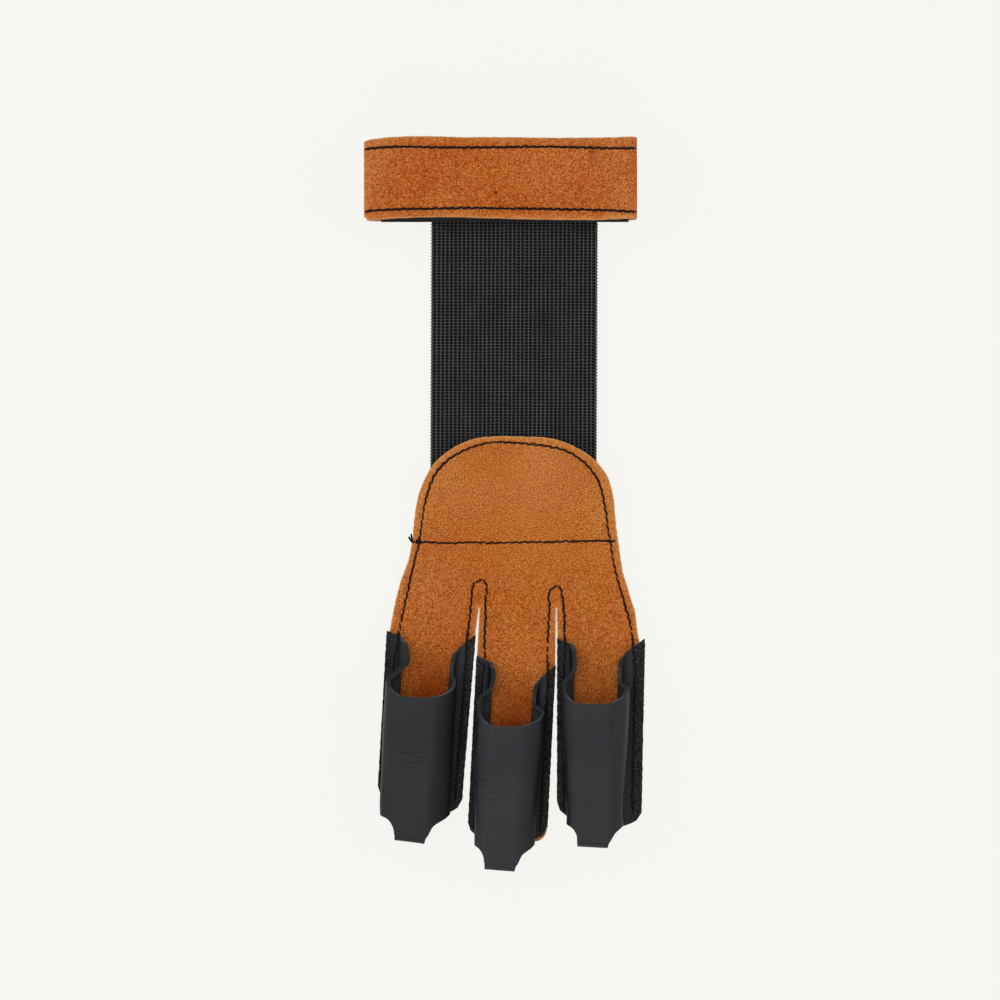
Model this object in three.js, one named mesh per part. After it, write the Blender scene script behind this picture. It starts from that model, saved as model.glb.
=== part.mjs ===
// A three-finger archery glove, lying flat with its palm side up.
// Millimetres, +Z up. Fingers point to -Y, the wrist strap is at +Y, and the glove lies on Z = 0.
// While it is made, X = 0 and Y = 0 are the middle of the seam that joins the hand panel and the webbing.

import {
  Box3, BufferGeometry, CatmullRomCurve3, Float32BufferAttribute, Group, MathUtils, Mesh,
  MeshStandardMaterial, Vector3,
} from 'three';

const { lerp, smoothstep } = MathUtils;

// Thicknesses and clearance
const GAP = 0.3;
const PANEL_SUEDE = 1.8;
const STRAP_SUEDE = 1.5;
const STALL_LEATHER = 1.6;
const TAPE_THICK = 0.9;
const WEBBING_THICK = 1.5;

// Wrist strap: a band that goes round the wrist and closes on itself with hook-and-loop tape
const STRAP_LENGTH = 82.4;
const STRAP_WIDTH = 24.6;
const STRAP_OFFSET = -4.2;
const STRAP_FOLD_INSET = 0.6;
const STRAP_SKEW = 1.0;
const WRIST_ROOM = 5.2;
const TAPE_LENGTH = 74.9;
const STRAP_CORNER_RADIUS = 2.2;
const TAPE_END_INSET = 2.5;

// Webbing
const WEBBING_WIDTH = 50.8;
const WEBBING_SPAN = 97.5;
const WEBBING_TAIL = 3.8;
const WEBBING_TOP_INSET = 2.5;
const WEBBING_DRIFT = 0.4;
const WEBBING_DROP = 14;

// Hand panel
const ARCH_HEIGHT = 32;
const ARCH_HALF_WIDTH = 30.7;
const ARCH_POWER = 2.8;
const ARCH_SHOULDER = 10;
const PALM_LENGTH = 20.2;
const PALM_HALF_WIDTH = 36.4;
const PANEL_STEP_LENGTH = 9;
const EDGE_DROOP = 1.2;

// Fingers and their stalls
const FINGER_WIDTH = 25.4;
const FINGER_LENGTH = 60;
const TIP_RADIUS = 6;
const TIP_PAST_FLANGE = 3;
const SLIT_OVERHANG = 0.2;
const OUTER_OVERHANG = 0.8;
const TUBE_HEIGHT = 12;
const TIP_HEIGHT_SHARE = 0.76;
const TIP_BELLY_SHARE = 0.75;
const MOUTH_DEPTH = 19.2;
const EARS_END_SHARE = 0.36;
const TUBE_START_SHARE = 0.86;
const CORNER_REACH = 3.2;
const NOSE_RADIUS = 2;
const FOOT_RADIUS = 1.5;
const TAB_WIDTH = 9.1;
const TAB_TUCK = 7;
const TIP_LIFT_LENGTH = 22;

// Colours and finishes
const suede = new MeshStandardMaterial({ color: 0xb8692d, roughness: 0.95, metalness: 0 });
const strapSuede = new MeshStandardMaterial({ color: 0xb4622c, roughness: 0.95, metalness: 0 });
const blackLeather = new MeshStandardMaterial({ color: 0x303236, roughness: 0.5, metalness: 0 });
const blackWebbing = new MeshStandardMaterial({ color: 0x2b2d30, roughness: 0.9, metalness: 0 });
const blackTape = new MeshStandardMaterial({ color: 0x1c1d1f, roughness: 0.95, metalness: 0 });

// Each finger's middle line and half width are shares of the finger width, at the root of the slits, at
// the stall's mouth and at its tip. Top, length and scallop are shares of the finger length. Foot is how far
// the tube's wall stands in from the finger's edge, belly how far it swells, lobe how far its ears lean in,
// all shares of the width. Lean and tipLean are the tube's sideways lean for each unit of height.
const fingers = [
  {
    name: 'stall_left', outerLeft: true, outerRight: false,
    root: -0.933, rootHalf: 0.504, mouth: -1.008, mouthHalf: 0.5, tip: -1.124, tipHalf: 0.488,
    top: 0.125, length: 0.855, scallop: 0.097, footLeft: 0.158, footRight: 0.19,
    belly: 0.08, lobe: 0.085, lean: -0.42, tipLean: -0.28,
  },
  {
    name: 'stall_middle', outerLeft: false, outerRight: false,
    root: 0.039, rootHalf: 0.453, mouth: -0.006, mouthHalf: 0.474, tip: -0.075, tipHalf: 0.469,
    top: 0.272, length: 0.858, scallop: 0.09, footLeft: 0.2, footRight: 0.235,
    belly: 0.15, lobe: 0.03, lean: -0.1, tipLean: -0.2,
  },
  {
    name: 'stall_right', outerLeft: false, outerRight: true,
    root: 0.967, rootHalf: 0.459, mouth: 1.021, mouthHalf: 0.508, tip: 1.008, tipHalf: 0.488,
    top: 0.158, length: 0.87, scallop: 0.075, footLeft: 0.2, footRight: 0.26,
    belly: 0.13, lobe: 0.03, lean: -0.02, tipLean: -0.05,
  },
];

// The palm's side edges between the seam and the slits: down is a share of the palm's length, and out of
// its half width
const palmEdges = [
  { down: 0, out: 0.85 },
  { down: 0.22, out: 0.873 },
  { down: 0.4, out: 0.902 },
  { down: 0.58, out: 0.938 },
  { down: 0.76, out: 0.969 },
  { down: 1, out: 1 },
];

// Half of a stall's section, from the flange's edge to the crown. Out is a share of the flange from the foot
// to the edge, round and lift are shares of the foot's radius, swell is a share of the belly, toTab a share
// of the way in to the tab's edge, toMiddle a share of the way on to the middle, and rise a share of the
// height above the foot.
const halfSection = [
  { out: 1, round: 0, lift: 0, swell: 0, toTab: 0, toMiddle: 0, rise: 0 },
  { out: 0, round: 1, lift: 0, swell: 0, toTab: 0, toMiddle: 0, rise: 0 },
  { out: 0, round: 0.3, lift: 0.3, swell: 0, toTab: 0, toMiddle: 0, rise: 0 },
  { out: 0, round: 0, lift: 1, swell: 0, toTab: 0, toMiddle: 0, rise: 0 },
  { out: 0, round: 0, lift: 1, swell: 0.55, toTab: 0, toMiddle: 0, rise: 0.2 },
  { out: 0, round: 0, lift: 1, swell: 1, toTab: 0, toMiddle: 0, rise: 0.46 },
  { out: 0, round: 0, lift: 1, swell: 0.8, toTab: 0.05, toMiddle: 0, rise: 0.74 },
  { out: 0, round: 0, lift: 1, swell: 0.2, toTab: 0.4, toMiddle: 0, rise: 0.93 },
  { out: 0, round: 0, lift: 1, swell: 0, toTab: 1, toMiddle: 0, rise: 0.99 },
  { out: 0, round: 0, lift: 1, swell: 0, toTab: 0, toMiddle: 1, rise: 1 },
];
const sectionStops = [0, 1, 2, 3, 3.5, 4, 4.5, 5, 5.5, 6, 6.5, 7, 7.5, 8, 9];
const CORNER_COLUMN = 7;
const TAB_COLUMN = 13;

// Where the mouth's edge crosses each height: down is a share of the mouth's depth
const mouthEdge = [
  { rise: 0, down: 0 },
  { rise: 0.15, down: 0.14 },
  { rise: 0.33, down: 0.34 },
  { rise: 0.5, down: 0.56 },
  { rise: 0.6, down: 0.68 },
  { rise: 0.8, down: 0.83 },
  { rise: 1, down: 1 },
];

// Reads a column of a table at a place between its rows
function between(table, key, at, column) {
  const after = table.findIndex((row) => row[key] >= at);
  if (after === 0) return table[0][column];
  if (after < 0) return table[table.length - 1][column];
  const low = table[after - 1];
  const high = table[after];
  return lerp(low[column], high[column], (at - low[key]) / (high[key] - low[key]));
}

// A closed leaf of leather or cloth: the cells of a grid, given a face on each side of the middle surface and
// a wall along every free edge. Rows run along the first direction and columns along the second.
function leaf(rows, columns, middle, thickness, present = () => true) {
  const grid = [];
  for (let r = 0; r <= rows; r += 1) {
    grid.push([]);
    for (let c = 0; c <= columns; c += 1) grid[r].push(middle(r, c));
  }
  const clampIndex = (value, high) => Math.min(Math.max(value, 0), high);
  const normalAt = (r, c) => {
    const along = grid[clampIndex(r + 1, rows)][c].clone().sub(grid[clampIndex(r - 1, rows)][c]);
    const across = grid[r][clampIndex(c + 1, columns)].clone().sub(grid[r][clampIndex(c - 1, columns)]);
    return along.cross(across).normalize();
  };
  const positions = [];
  const faces = [];
  const placed = new Map();
  const corner = (r, c, side) => {
    const key = `${r},${c},${side}`;
    if (!placed.has(key)) {
      const point = grid[r][c].clone().addScaledVector(normalAt(r, c), side * thickness / 2);
      placed.set(key, positions.length / 3);
      positions.push(point.x, point.y, point.z);
    }
    return placed.get(key);
  };
  const quad = (a, b, c, d) => faces.push(a, b, c, a, c, d);
  const filled = (r, c) => r >= 0 && c >= 0 && r < rows && c < columns && present(r, c);
  for (let r = 0; r < rows; r += 1) {
    for (let c = 0; c < columns; c += 1) {
      if (!filled(r, c)) continue;
      const ring = [[r, c], [r + 1, c], [r + 1, c + 1], [r, c + 1]];
      const neighbours = [[r, c - 1], [r + 1, c], [r, c + 1], [r - 1, c]];
      const top = ring.map(([i, j]) => corner(i, j, 1));
      const bottom = ring.map(([i, j]) => corner(i, j, -1));
      quad(...top);
      quad(...[...bottom].reverse());
      neighbours.forEach(([i, j], side) => {
        const next = (side + 1) % 4;
        if (!filled(i, j)) quad(top[side], bottom[side], bottom[next], top[next]);
      });
    }
  }
  const geometry = new BufferGeometry();
  geometry.setAttribute('position', new Float32BufferAttribute(positions, 3));
  geometry.setIndex(faces);
  geometry.computeVertexNormals();
  return geometry;
}

// Finger measurements
const fingerTop = (finger) => -PALM_LENGTH - finger.top * FINGER_LENGTH;
const flangeEnd = (finger) => fingerTop(finger) - finger.length * FINGER_LENGTH;
const panelTip = (finger) => flangeEnd(finger) - TIP_PAST_FLANGE;
const tubeCorner = (finger) => flangeEnd(finger) - CORNER_REACH;
const tabBend = (finger) => tubeCorner(finger) - finger.scallop * FINGER_LENGTH;

function fingerLine(finger, y) {
  const table = [
    { down: PALM_LENGTH, middle: finger.root, half: finger.rootHalf },
    { down: -fingerTop(finger) + 2 * GAP, middle: finger.mouth, half: finger.mouthHalf },
    { down: -flangeEnd(finger), middle: finger.tip, half: finger.tipHalf },
  ];
  const middle = between(table, 'down', -y, 'middle') * FINGER_WIDTH;
  const half = between(table, 'down', -y, 'half') * FINGER_WIDTH;
  return { left: middle - half, right: middle + half };
}

// Height of the hand panel's underside above the ground: it lies over the webbing's end, comes down to the
// ground past it, and its finger tips lie over the tucked tabs
function panelUnderside(x, y, tip = -Infinity) {
  const overWebbing = WEBBING_THICK + GAP;
  const pastTail = smoothstep(y, -WEBBING_TAIL - PANEL_STEP_LENGTH, -WEBBING_TAIL);
  const beyondEdge = smoothstep(Math.abs(x), WEBBING_WIDTH / 2 + 2 * GAP, ARCH_HALF_WIDTH + GAP);
  const tipLift = (STALL_LEATHER + GAP) * (1 - smoothstep(y - tip, TAB_TUCK, TIP_LIFT_LENGTH));
  return (overWebbing - EDGE_DROOP * beyondEdge) * pastTail + tipLift;
}

// Hand panel: arch, palm and three finger backs with a slit on each side of the middle one
const FINGER_CELLS = 5;
const FINGER_STRIDE = FINGER_CELLS + 1;
const PANEL_COLUMNS = 3 * FINGER_STRIDE - 1;
const ARCH_ROWS = 6;
const PALM_ROWS = 6;
const fingerRows = [0.16, 0.32, 0.46, 0.58, 0.68, 0.74, 0.79, 0.84, 0.89, 0.93, 0.96, 0.985, 1];

function panelRootX(column) {
  const finger = fingers[Math.min(Math.floor(column / FINGER_STRIDE), 2)];
  const line = fingerLine(finger, -PALM_LENGTH);
  return lerp(line.left, line.right, (column % FINGER_STRIDE) / FINGER_CELLS);
}

function panelShare(column) {
  const left = panelRootX(0);
  return (panelRootX(column) - left) / (panelRootX(PANEL_COLUMNS) - left);
}

function archPoint(share) {
  const shoulder = Math.asin((ARCH_SHOULDER / ARCH_HEIGHT) ** (ARCH_POWER / 2));
  const angle = lerp(Math.PI - shoulder, shoulder, share);
  const x = Math.sign(Math.cos(angle)) * Math.abs(Math.cos(angle)) ** (2 / ARCH_POWER) * ARCH_HALF_WIDTH;
  return { x, y: Math.sin(angle) ** (2 / ARCH_POWER) * ARCH_HEIGHT };
}

function panelPoint(row, column) {
  const share = panelShare(column);
  const middleHeight = PANEL_SUEDE / 2;
  if (row <= ARCH_ROWS) {
    const half = palmEdges[0].out * PALM_HALF_WIDTH;
    const top = archPoint(share);
    const x = lerp(top.x, lerp(-half, half, share), row / ARCH_ROWS);
    const y = lerp(top.y, 0, row / ARCH_ROWS);
    return new Vector3(x, y, panelUnderside(x, y) + middleHeight);
  }
  if (row <= ARCH_ROWS + PALM_ROWS) {
    const down = (row - ARCH_ROWS) / PALM_ROWS;
    const half = between(palmEdges, 'down', down, 'out') * PALM_HALF_WIDTH;
    const x = lerp(lerp(-half, half, share), panelRootX(column), down);
    const y = -down * PALM_LENGTH;
    return new Vector3(x, y, panelUnderside(x, y) + middleHeight);
  }
  const finger = fingers[Math.floor(column / FINGER_STRIDE)];
  const tip = panelTip(finger);
  const y = lerp(-PALM_LENGTH, tip, fingerRows[row - ARCH_ROWS - PALM_ROWS - 1]);
  const line = fingerLine(finger, y);
  const toTip = Math.min(y - tip, TIP_RADIUS);
  const rounding = TIP_RADIUS - Math.sqrt(TIP_RADIUS ** 2 - (TIP_RADIUS - toTip) ** 2);
  const across = (column % FINGER_STRIDE) / FINGER_CELLS;
  const x = lerp(line.left + rounding, line.right - rounding, across);
  return new Vector3(x, y, panelUnderside(x, y, tip) + middleHeight);
}

function handPanel() {
  const palmEnd = ARCH_ROWS + PALM_ROWS;
  const isSlit = (r, c) => r >= palmEnd && c % FINGER_STRIDE === FINGER_CELLS;
  return leaf(palmEnd + fingerRows.length, PANEL_COLUMNS, panelPoint, PANEL_SUEDE, (r, c) => !isSlit(r, c));
}

// A stall's front: flanges on the finger back, a tube with a scooped mouth, scalloped tip and tucked tab
const SIDE_COLUMNS = sectionStops.length - 1;
const STALL_COLUMNS = 2 * SIDE_COLUMNS;
const TUBE_ROWS = 14;
const BEND_STEPS = 3;

// How far the walls lean out at a depth past the mouth's top, from -1 for the ears to 1 for the tube
function formed(depth) {
  return 2 * smoothstep(depth, EARS_END_SHARE * MOUTH_DEPTH, TUBE_START_SHARE * MOUTH_DEPTH) - 1;
}

function halfSectionPoints(finger, y, side) {
  const line = fingerLine(finger, y);
  const depth = fingerTop(finger) - y;
  const form = formed(depth);
  const narrowing = smoothstep(depth, MOUTH_DEPTH, finger.length * FINGER_LENGTH);
  const edge = side < 0 ? line.left : line.right;
  const outer = side < 0 ? finger.outerLeft : finger.outerRight;
  const foot = (side < 0 ? finger.footLeft : finger.footRight) * FINGER_WIDTH;
  const flange = foot + (outer ? OUTER_OVERHANG : SLIT_OVERHANG);
  const belly = finger.belly * lerp(1, TIP_BELLY_SHARE, narrowing);
  const swell = FINGER_WIDTH * form * (form > 0 ? belly : finger.lobe);
  const height = TUBE_HEIGHT * lerp(1, TIP_HEIGHT_SHARE, narrowing) - STALL_LEATHER / 2 - FOOT_RADIUS;
  const lean = lerp(finger.lean, finger.tipLean, narrowing) * Math.max(form, 0);
  const offCentre = (finger.footLeft - finger.footRight) * FINGER_WIDTH / 2;
  const middle = (line.left + line.right) / 2 + offCentre;
  const panelTop = panelUnderside(middle, y, panelTip(finger)) + PANEL_SUEDE;
  const ground = panelTop + GAP + STALL_LEATHER / 2;
  return halfSection.map((row) => {
    const out = row.swell * swell + row.round * FOOT_RADIUS + row.out * flange;
    const wall = edge + side * (out - foot);
    const x = lerp(lerp(wall, middle + side * TAB_WIDTH / 2, row.toTab), middle, row.toMiddle);
    const rise = row.lift * FOOT_RADIUS + row.rise * height;
    return new Vector3(x + lean * rise, y, ground + rise);
  });
}

// One point of a stall's section: side column 0 is the flange's edge and the last one is the crown
function sectionPoint(finger, y, side, sideColumn) {
  const curve = new CatmullRomCurve3(halfSectionPoints(finger, y, side), false, 'centripetal');
  return curve.getPoint(sectionStops[sideColumn] / (halfSection.length - 1));
}

// Where a column of the tube starts at the mouth and stops at the tip: the flange's end, the corner, the
// round scallop and the tab's bend
function columnSpan(finger, sideColumn) {
  const station = sectionStops[sideColumn];
  const low = halfSection[Math.floor(station)];
  const high = halfSection[Math.ceil(station)];
  const rise = lerp(low.rise, high.rise, station % 1);
  const start = fingerTop(finger) - between(mouthEdge, 'rise', rise, 'down') * MOUTH_DEPTH;
  const corner = tubeCorner(finger);
  if (sideColumn < CORNER_COLUMN) {
    return { start, stop: lerp(flangeEnd(finger), corner, smoothstep(sideColumn, 0, CORNER_COLUMN)) };
  }
  const inward = Math.min((sideColumn - CORNER_COLUMN) / (TAB_COLUMN - CORNER_COLUMN), 1);
  return { start, stop: lerp(tabBend(finger), corner, Math.sqrt(1 - inward ** 2)) };
}

// The tab's route past the tube: round the finger tip, down to the ground and back under the panel
function tabRoute(finger, top) {
  const bend = tabBend(finger);
  const bottom = STALL_LEATHER / 2;
  const route = [];
  for (let i = 1; i <= BEND_STEPS; i += 1) {
    const angle = Math.PI / 2 * i / BEND_STEPS;
    route.push({ y: bend - Math.sin(angle) * NOSE_RADIUS, z: top - (1 - Math.cos(angle)) * NOSE_RADIUS });
  }
  for (let i = 0; i <= BEND_STEPS; i += 1) {
    const angle = Math.PI / 2 * i / BEND_STEPS;
    route.push({ y: bend - Math.cos(angle) * NOSE_RADIUS, z: bottom + (1 - Math.sin(angle)) * NOSE_RADIUS });
  }
  route.push({ y: panelTip(finger) + TAB_TUCK - GAP, z: bottom });
  return route;
}

function stallFront(finger) {
  const route = tabRoute(finger, sectionPoint(finger, tabBend(finger), 1, SIDE_COLUMNS).z);
  const point = (row, column) => {
    const side = column <= SIDE_COLUMNS ? -1 : 1;
    const sideColumn = column <= SIDE_COLUMNS ? column : STALL_COLUMNS - column;
    const { start, stop } = columnSpan(finger, sideColumn);
    const place = sectionPoint(finger, lerp(start, stop, Math.min(row / TUBE_ROWS, 1)), side, sideColumn);
    if (row <= TUBE_ROWS) return place;
    const bent = route[row - TUBE_ROWS - 1];
    return new Vector3(place.x, bent.y, bent.z);
  };
  const inTab = (c) => c >= TAB_COLUMN && c < STALL_COLUMNS - TAB_COLUMN;
  const present = (r, c) => r < TUBE_ROWS || inTab(c);
  return leaf(TUBE_ROWS + route.length, STALL_COLUMNS, point, STALL_LEATHER, present);
}

// Heights of the layers in the closed strap, at the middle of each layer
const backHeight = STRAP_SUEDE / 2;
const webbingInStrap = STRAP_SUEDE + GAP + WEBBING_THICK / 2;
const innerHeight = STRAP_SUEDE + GAP + WEBBING_THICK + WRIST_ROOM + STRAP_SUEDE / 2;
const loopTapeHeight = innerHeight + STRAP_SUEDE / 2 + GAP + TAPE_THICK / 2;
const hookTapeHeight = loopTapeHeight + TAPE_THICK + GAP;
const flapHeight = hookTapeHeight + TAPE_THICK / 2 + GAP + STRAP_SUEDE / 2;
const strapLeft = STRAP_OFFSET - STRAP_LENGTH / 2;
const strapRight = STRAP_OFFSET + STRAP_LENGTH / 2;

// The band's route round the wrist, from the flap's free end at the left to the inner end at the right. The
// right fold is squared by the inner end that pushes into it, and the left fold is round.
function strapRoute() {
  const route = [];
  const straightSteps = 8;
  const cornerSteps = 5;
  const straight = (from, to, z) => {
    for (let i = 0; i < straightSteps; i += 1) route.push({ x: lerp(from, to, i / straightSteps), z });
  };
  const corner = (centreX, centreZ, radius, startAngle, turn) => {
    for (let i = 0; i < cornerSteps; i += 1) {
      const angle = startAngle + Math.PI / 2 * i / cornerSteps;
      const out = turn * Math.sin(angle) * radius;
      route.push({ x: centreX + out, z: centreZ + turn * Math.cos(angle) * radius });
    }
  };
  const leftRadius = (innerHeight - backHeight) / 2;
  const rightCentre = strapRight - STRAP_SUEDE / 2 - STRAP_CORNER_RADIUS;
  const leftCentre = strapLeft + STRAP_FOLD_INSET + STRAP_SUEDE / 2 + leftRadius;
  straight(strapLeft, rightCentre, flapHeight);
  corner(rightCentre, flapHeight - STRAP_CORNER_RADIUS, STRAP_CORNER_RADIUS, 0, 1);
  corner(rightCentre, backHeight + STRAP_CORNER_RADIUS, STRAP_CORNER_RADIUS, Math.PI / 2, 1);
  straight(rightCentre, leftCentre, backHeight);
  corner(leftCentre, backHeight + leftRadius, leftRadius, 0, -1);
  corner(leftCentre, backHeight + leftRadius, leftRadius, Math.PI / 2, -1);
  straight(leftCentre, strapRight - TAPE_END_INSET, innerHeight);
  route.push({ x: strapRight - TAPE_END_INSET, z: innerHeight });
  return route;
}

// How far the band's edges stray from straight along the route: shares of the strap's width
const strapEdges = [
  { along: 0, top: -0.045, bottom: -0.03 },
  { along: 0.03, top: -0.02, bottom: -0.03 },
  { along: 0.09, top: 0, bottom: 0 },
  { along: 0.3, top: 0, bottom: -0.016 },
  { along: 0.5, top: 0, bottom: 0 },
  { along: 1, top: 0, bottom: 0 },
];
const STRAP_COLUMNS = 2;

function wristStrap() {
  const route = strapRoute();
  const last = route.length - 1;
  const point = (r, c) => {
    const along = r / last;
    const shift = -STRAP_SKEW * along;
    const bottomEdge = between(strapEdges, 'along', along, 'bottom') * STRAP_WIDTH;
    const topEdge = STRAP_WIDTH + between(strapEdges, 'along', along, 'top') * STRAP_WIDTH;
    const y = WEBBING_SPAN + shift + lerp(topEdge, bottomEdge, c / STRAP_COLUMNS);
    return new Vector3(route[r].x, y, route[r].z);
  };
  return leaf(last, STRAP_COLUMNS, point, STRAP_SUEDE);
}

// A straight length of hook or loop tape between the strap's flap and its inner end
function tapeStrip(height, shift) {
  const columns = 4;
  const right = strapRight - TAPE_END_INSET;
  const point = (r, c) => new Vector3(
    lerp(right - TAPE_LENGTH, right, c / columns),
    WEBBING_SPAN + shift + (1 - r) * STRAP_WIDTH,
    height,
  );
  return leaf(1, columns, point, TAPE_THICK);
}

// The webbing lies in the closed strap, comes down to the ground and ends under the hand panel
function webbing() {
  const rows = 16;
  const columns = 4;
  const top = WEBBING_SPAN + STRAP_WIDTH - WEBBING_TOP_INSET - STRAP_SKEW;
  const strapEdge = WEBBING_SPAN - STRAP_SKEW - 2 * GAP;
  const downSteps = 8;
  const levels = [top];
  for (let i = 0; i <= downSteps; i += 1) levels.push(strapEdge - WEBBING_DROP * i / downSteps);
  const rest = rows - levels.length + 1;
  const ground = levels[levels.length - 1];
  for (let i = 1; i <= rest; i += 1) levels.push(lerp(ground, -WEBBING_TAIL, i / rest));
  const point = (r, c) => {
    const y = levels[r];
    const lift = smoothstep(y, strapEdge - WEBBING_DROP, strapEdge);
    const drift = -WEBBING_DRIFT * (1 - y / WEBBING_SPAN);
    const x = drift + lerp(-WEBBING_WIDTH / 2, WEBBING_WIDTH / 2, c / columns);
    return new Vector3(x, y, lerp(WEBBING_THICK / 2, webbingInStrap, lift));
  };
  return leaf(rows, columns, point, WEBBING_THICK);
}

// The glove, set on the ground with its middle at the origin
const glove = new Group();
function add(name, geometry, material) {
  const mesh = new Mesh(geometry, material);
  mesh.name = name;
  glove.add(mesh);
}
add('wrist_strap', wristStrap(), strapSuede);
add('loop_tape', tapeStrip(loopTapeHeight, -STRAP_SKEW), blackTape);
add('hook_tape', tapeStrip(hookTapeHeight, 0), blackTape);
add('webbing', webbing(), blackWebbing);
add('hand_panel', handPanel(), suede);
for (const finger of fingers) add(finger.name, stallFront(finger), blackLeather);

const extent = new Box3().setFromObject(glove);
const middle = extent.getCenter(new Vector3());
glove.position.set(-middle.x, -middle.y, -extent.min.z);

export default glove;
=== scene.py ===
import math

import bpy
import numpy as np
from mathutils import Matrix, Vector, kdtree, noise


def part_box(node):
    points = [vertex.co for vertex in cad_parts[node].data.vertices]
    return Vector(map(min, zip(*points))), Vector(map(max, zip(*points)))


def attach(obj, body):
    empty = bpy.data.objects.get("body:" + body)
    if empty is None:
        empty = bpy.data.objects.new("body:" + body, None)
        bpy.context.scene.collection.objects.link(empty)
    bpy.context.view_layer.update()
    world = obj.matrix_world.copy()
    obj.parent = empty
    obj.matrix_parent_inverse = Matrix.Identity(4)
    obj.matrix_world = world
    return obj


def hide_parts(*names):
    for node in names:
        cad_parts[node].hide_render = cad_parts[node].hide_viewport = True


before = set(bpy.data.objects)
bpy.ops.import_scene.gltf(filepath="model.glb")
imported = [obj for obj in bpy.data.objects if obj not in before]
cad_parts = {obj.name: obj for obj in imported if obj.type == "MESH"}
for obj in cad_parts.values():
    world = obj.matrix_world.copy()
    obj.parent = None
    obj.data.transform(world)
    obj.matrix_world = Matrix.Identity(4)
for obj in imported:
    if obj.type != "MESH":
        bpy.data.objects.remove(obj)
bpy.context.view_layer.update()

# A three-finger archery glove, lying flat with its palm side up: a suede wrist strap closed with
# hook-and-loop tape, elastic webbing, a suede hand panel and three black leather finger stalls.
# Sizes are millimetres from the middle of the seam that joins the hand panel and the webbing. place() turns
# them into metres in the CAD's frame.
MM = 0.001

# Thicknesses
GAP = 0.3
PANEL_SUEDE = 1.8
STRAP_SUEDE = 1.5
STALL_LEATHER = 1.6
STALL_SHOWING = 1.25
TAPE_THICK = 0.9
WEBBING_THICK = 1.5
EDGE_BEVEL = 0.28

# Wrist strap and its tapes
STRAP_LENGTH = 82.4
STRAP_WIDTH = 24.6
STRAP_OFFSET = -4.2
STRAP_FOLD_INSET = 0.6
STRAP_SKEW = 1.0
STRAP_CORNER_RADIUS = 2.2
WRIST_ROOM = 5.2
TAPE_LENGTH = 74.9
TAPE_END_INSET = 2.5

# Webbing
WEBBING_WIDTH = 50.8
WEBBING_SPAN = 97.5
WEBBING_TAIL = 3.8
WEBBING_TOP_INSET = 2.5
WEBBING_DRIFT = 0.4
WEBBING_DROP = 14
RIB_PITCH = 1.27
PICK_PITCH = 0.955

# Hand panel
PALM_LENGTH = 20.2
PANEL_STEP_LENGTH = 9
EDGE_DROOP = 1.2
ARCH_HALF_WIDTH = 30.7

# Fingers and stalls
FINGER_WIDTH = 25.4
FINGER_LENGTH = 60
TIP_RADIUS = 7.5
TIP_PAST_FLANGE = 3
TUBE_HEIGHT = 12
TIP_HEIGHT_SHARE = 0.76
MOUTH_DEPTH = 19.2
CORNER_REACH = 3.2
NOSE_RADIUS = 1.0
TAB_SNIP = 0.6
FOOT_RADIUS = 1.5
TAB_WIDTH = 9.7
TAB_TUCK = 7
TIP_LIFT_LENGTH = 22
OUTER_INSET = 2.9
SLIT_INSET = 2.4
FLANGE_INSET = 2.0

# Thread
STITCH_LENGTH = 2.4
THREAD_WIDTH = 0.7
UNDERSIDE_THREAD = 0.42

# Cut edges, how far each strays from its line
STRAP_RAGGED = 0.12
PANEL_RAGGED = 0.13
STALL_RAGGED = 0.17
TAPE_RAGGED = 0.07

# Grooves that the stitches press into the suede, and wrinkles in the leather
STRAP_GROOVE = 0.14
STRAP_GROOVE_WIDTH = 0.5
PANEL_GROOVE = 0.26
PANEL_GROOVE_WIDTH = 0.55
CREASE_WIDTH = 0.55

# The webbing's weave: how many times a cord or bar is taller than wide, and how a cord swells between bars
CORD_TALLNESS = 2.4
BAR_TALLNESS = 2.7
CORD_NARROW = 0.84
CORD_SWELL = 0.3
WEBBING_CORE_THICK = 0.55

# Camera, floor and surroundings
CAMERA_HEIGHT = 1500
CAMERA_POINT = (-4.41, 12.62)
VIEW_WIDTH = 304
SENSOR_WIDTH = 36
FLOOR_REACH = 3.0
FLOOR_GAP = 0.3
FLOOR_COLOUR = (0.07, 0.07, 0.067, 1)
FLOOR_GLOW = (1.0, 1.0, 0.963, 1)
FLOOR_GLOW_STRENGTH = 0.862
SURROUNDINGS = (0.96, 0.98, 1.0, 1)
SURROUNDINGS_STRENGTH = 0.3

webbing_low = np.array(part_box("webbing")[0]) / MM
webbing_tail_drift = WEBBING_DRIFT * (1 + WEBBING_TAIL / WEBBING_SPAN)
SEAM = np.array([
    webbing_low[0] + WEBBING_WIDTH / 2 + webbing_tail_drift,
    webbing_low[1] + WEBBING_TAIL,
    0,
])

# How high the strap's layers and tapes lie, at their middles
inner_height = STRAP_SUEDE + GAP + WEBBING_THICK + WRIST_ROOM + STRAP_SUEDE / 2
loop_tape_height = inner_height + STRAP_SUEDE / 2 + GAP + TAPE_THICK / 2
hook_tape_height = loop_tape_height + TAPE_THICK + GAP
flap_height = hook_tape_height + TAPE_THICK / 2 + GAP + STRAP_SUEDE / 2
back_height = STRAP_SUEDE / 2
strap_left = STRAP_OFFSET - STRAP_LENGTH / 2
strap_right = STRAP_OFFSET + STRAP_LENGTH / 2

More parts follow.
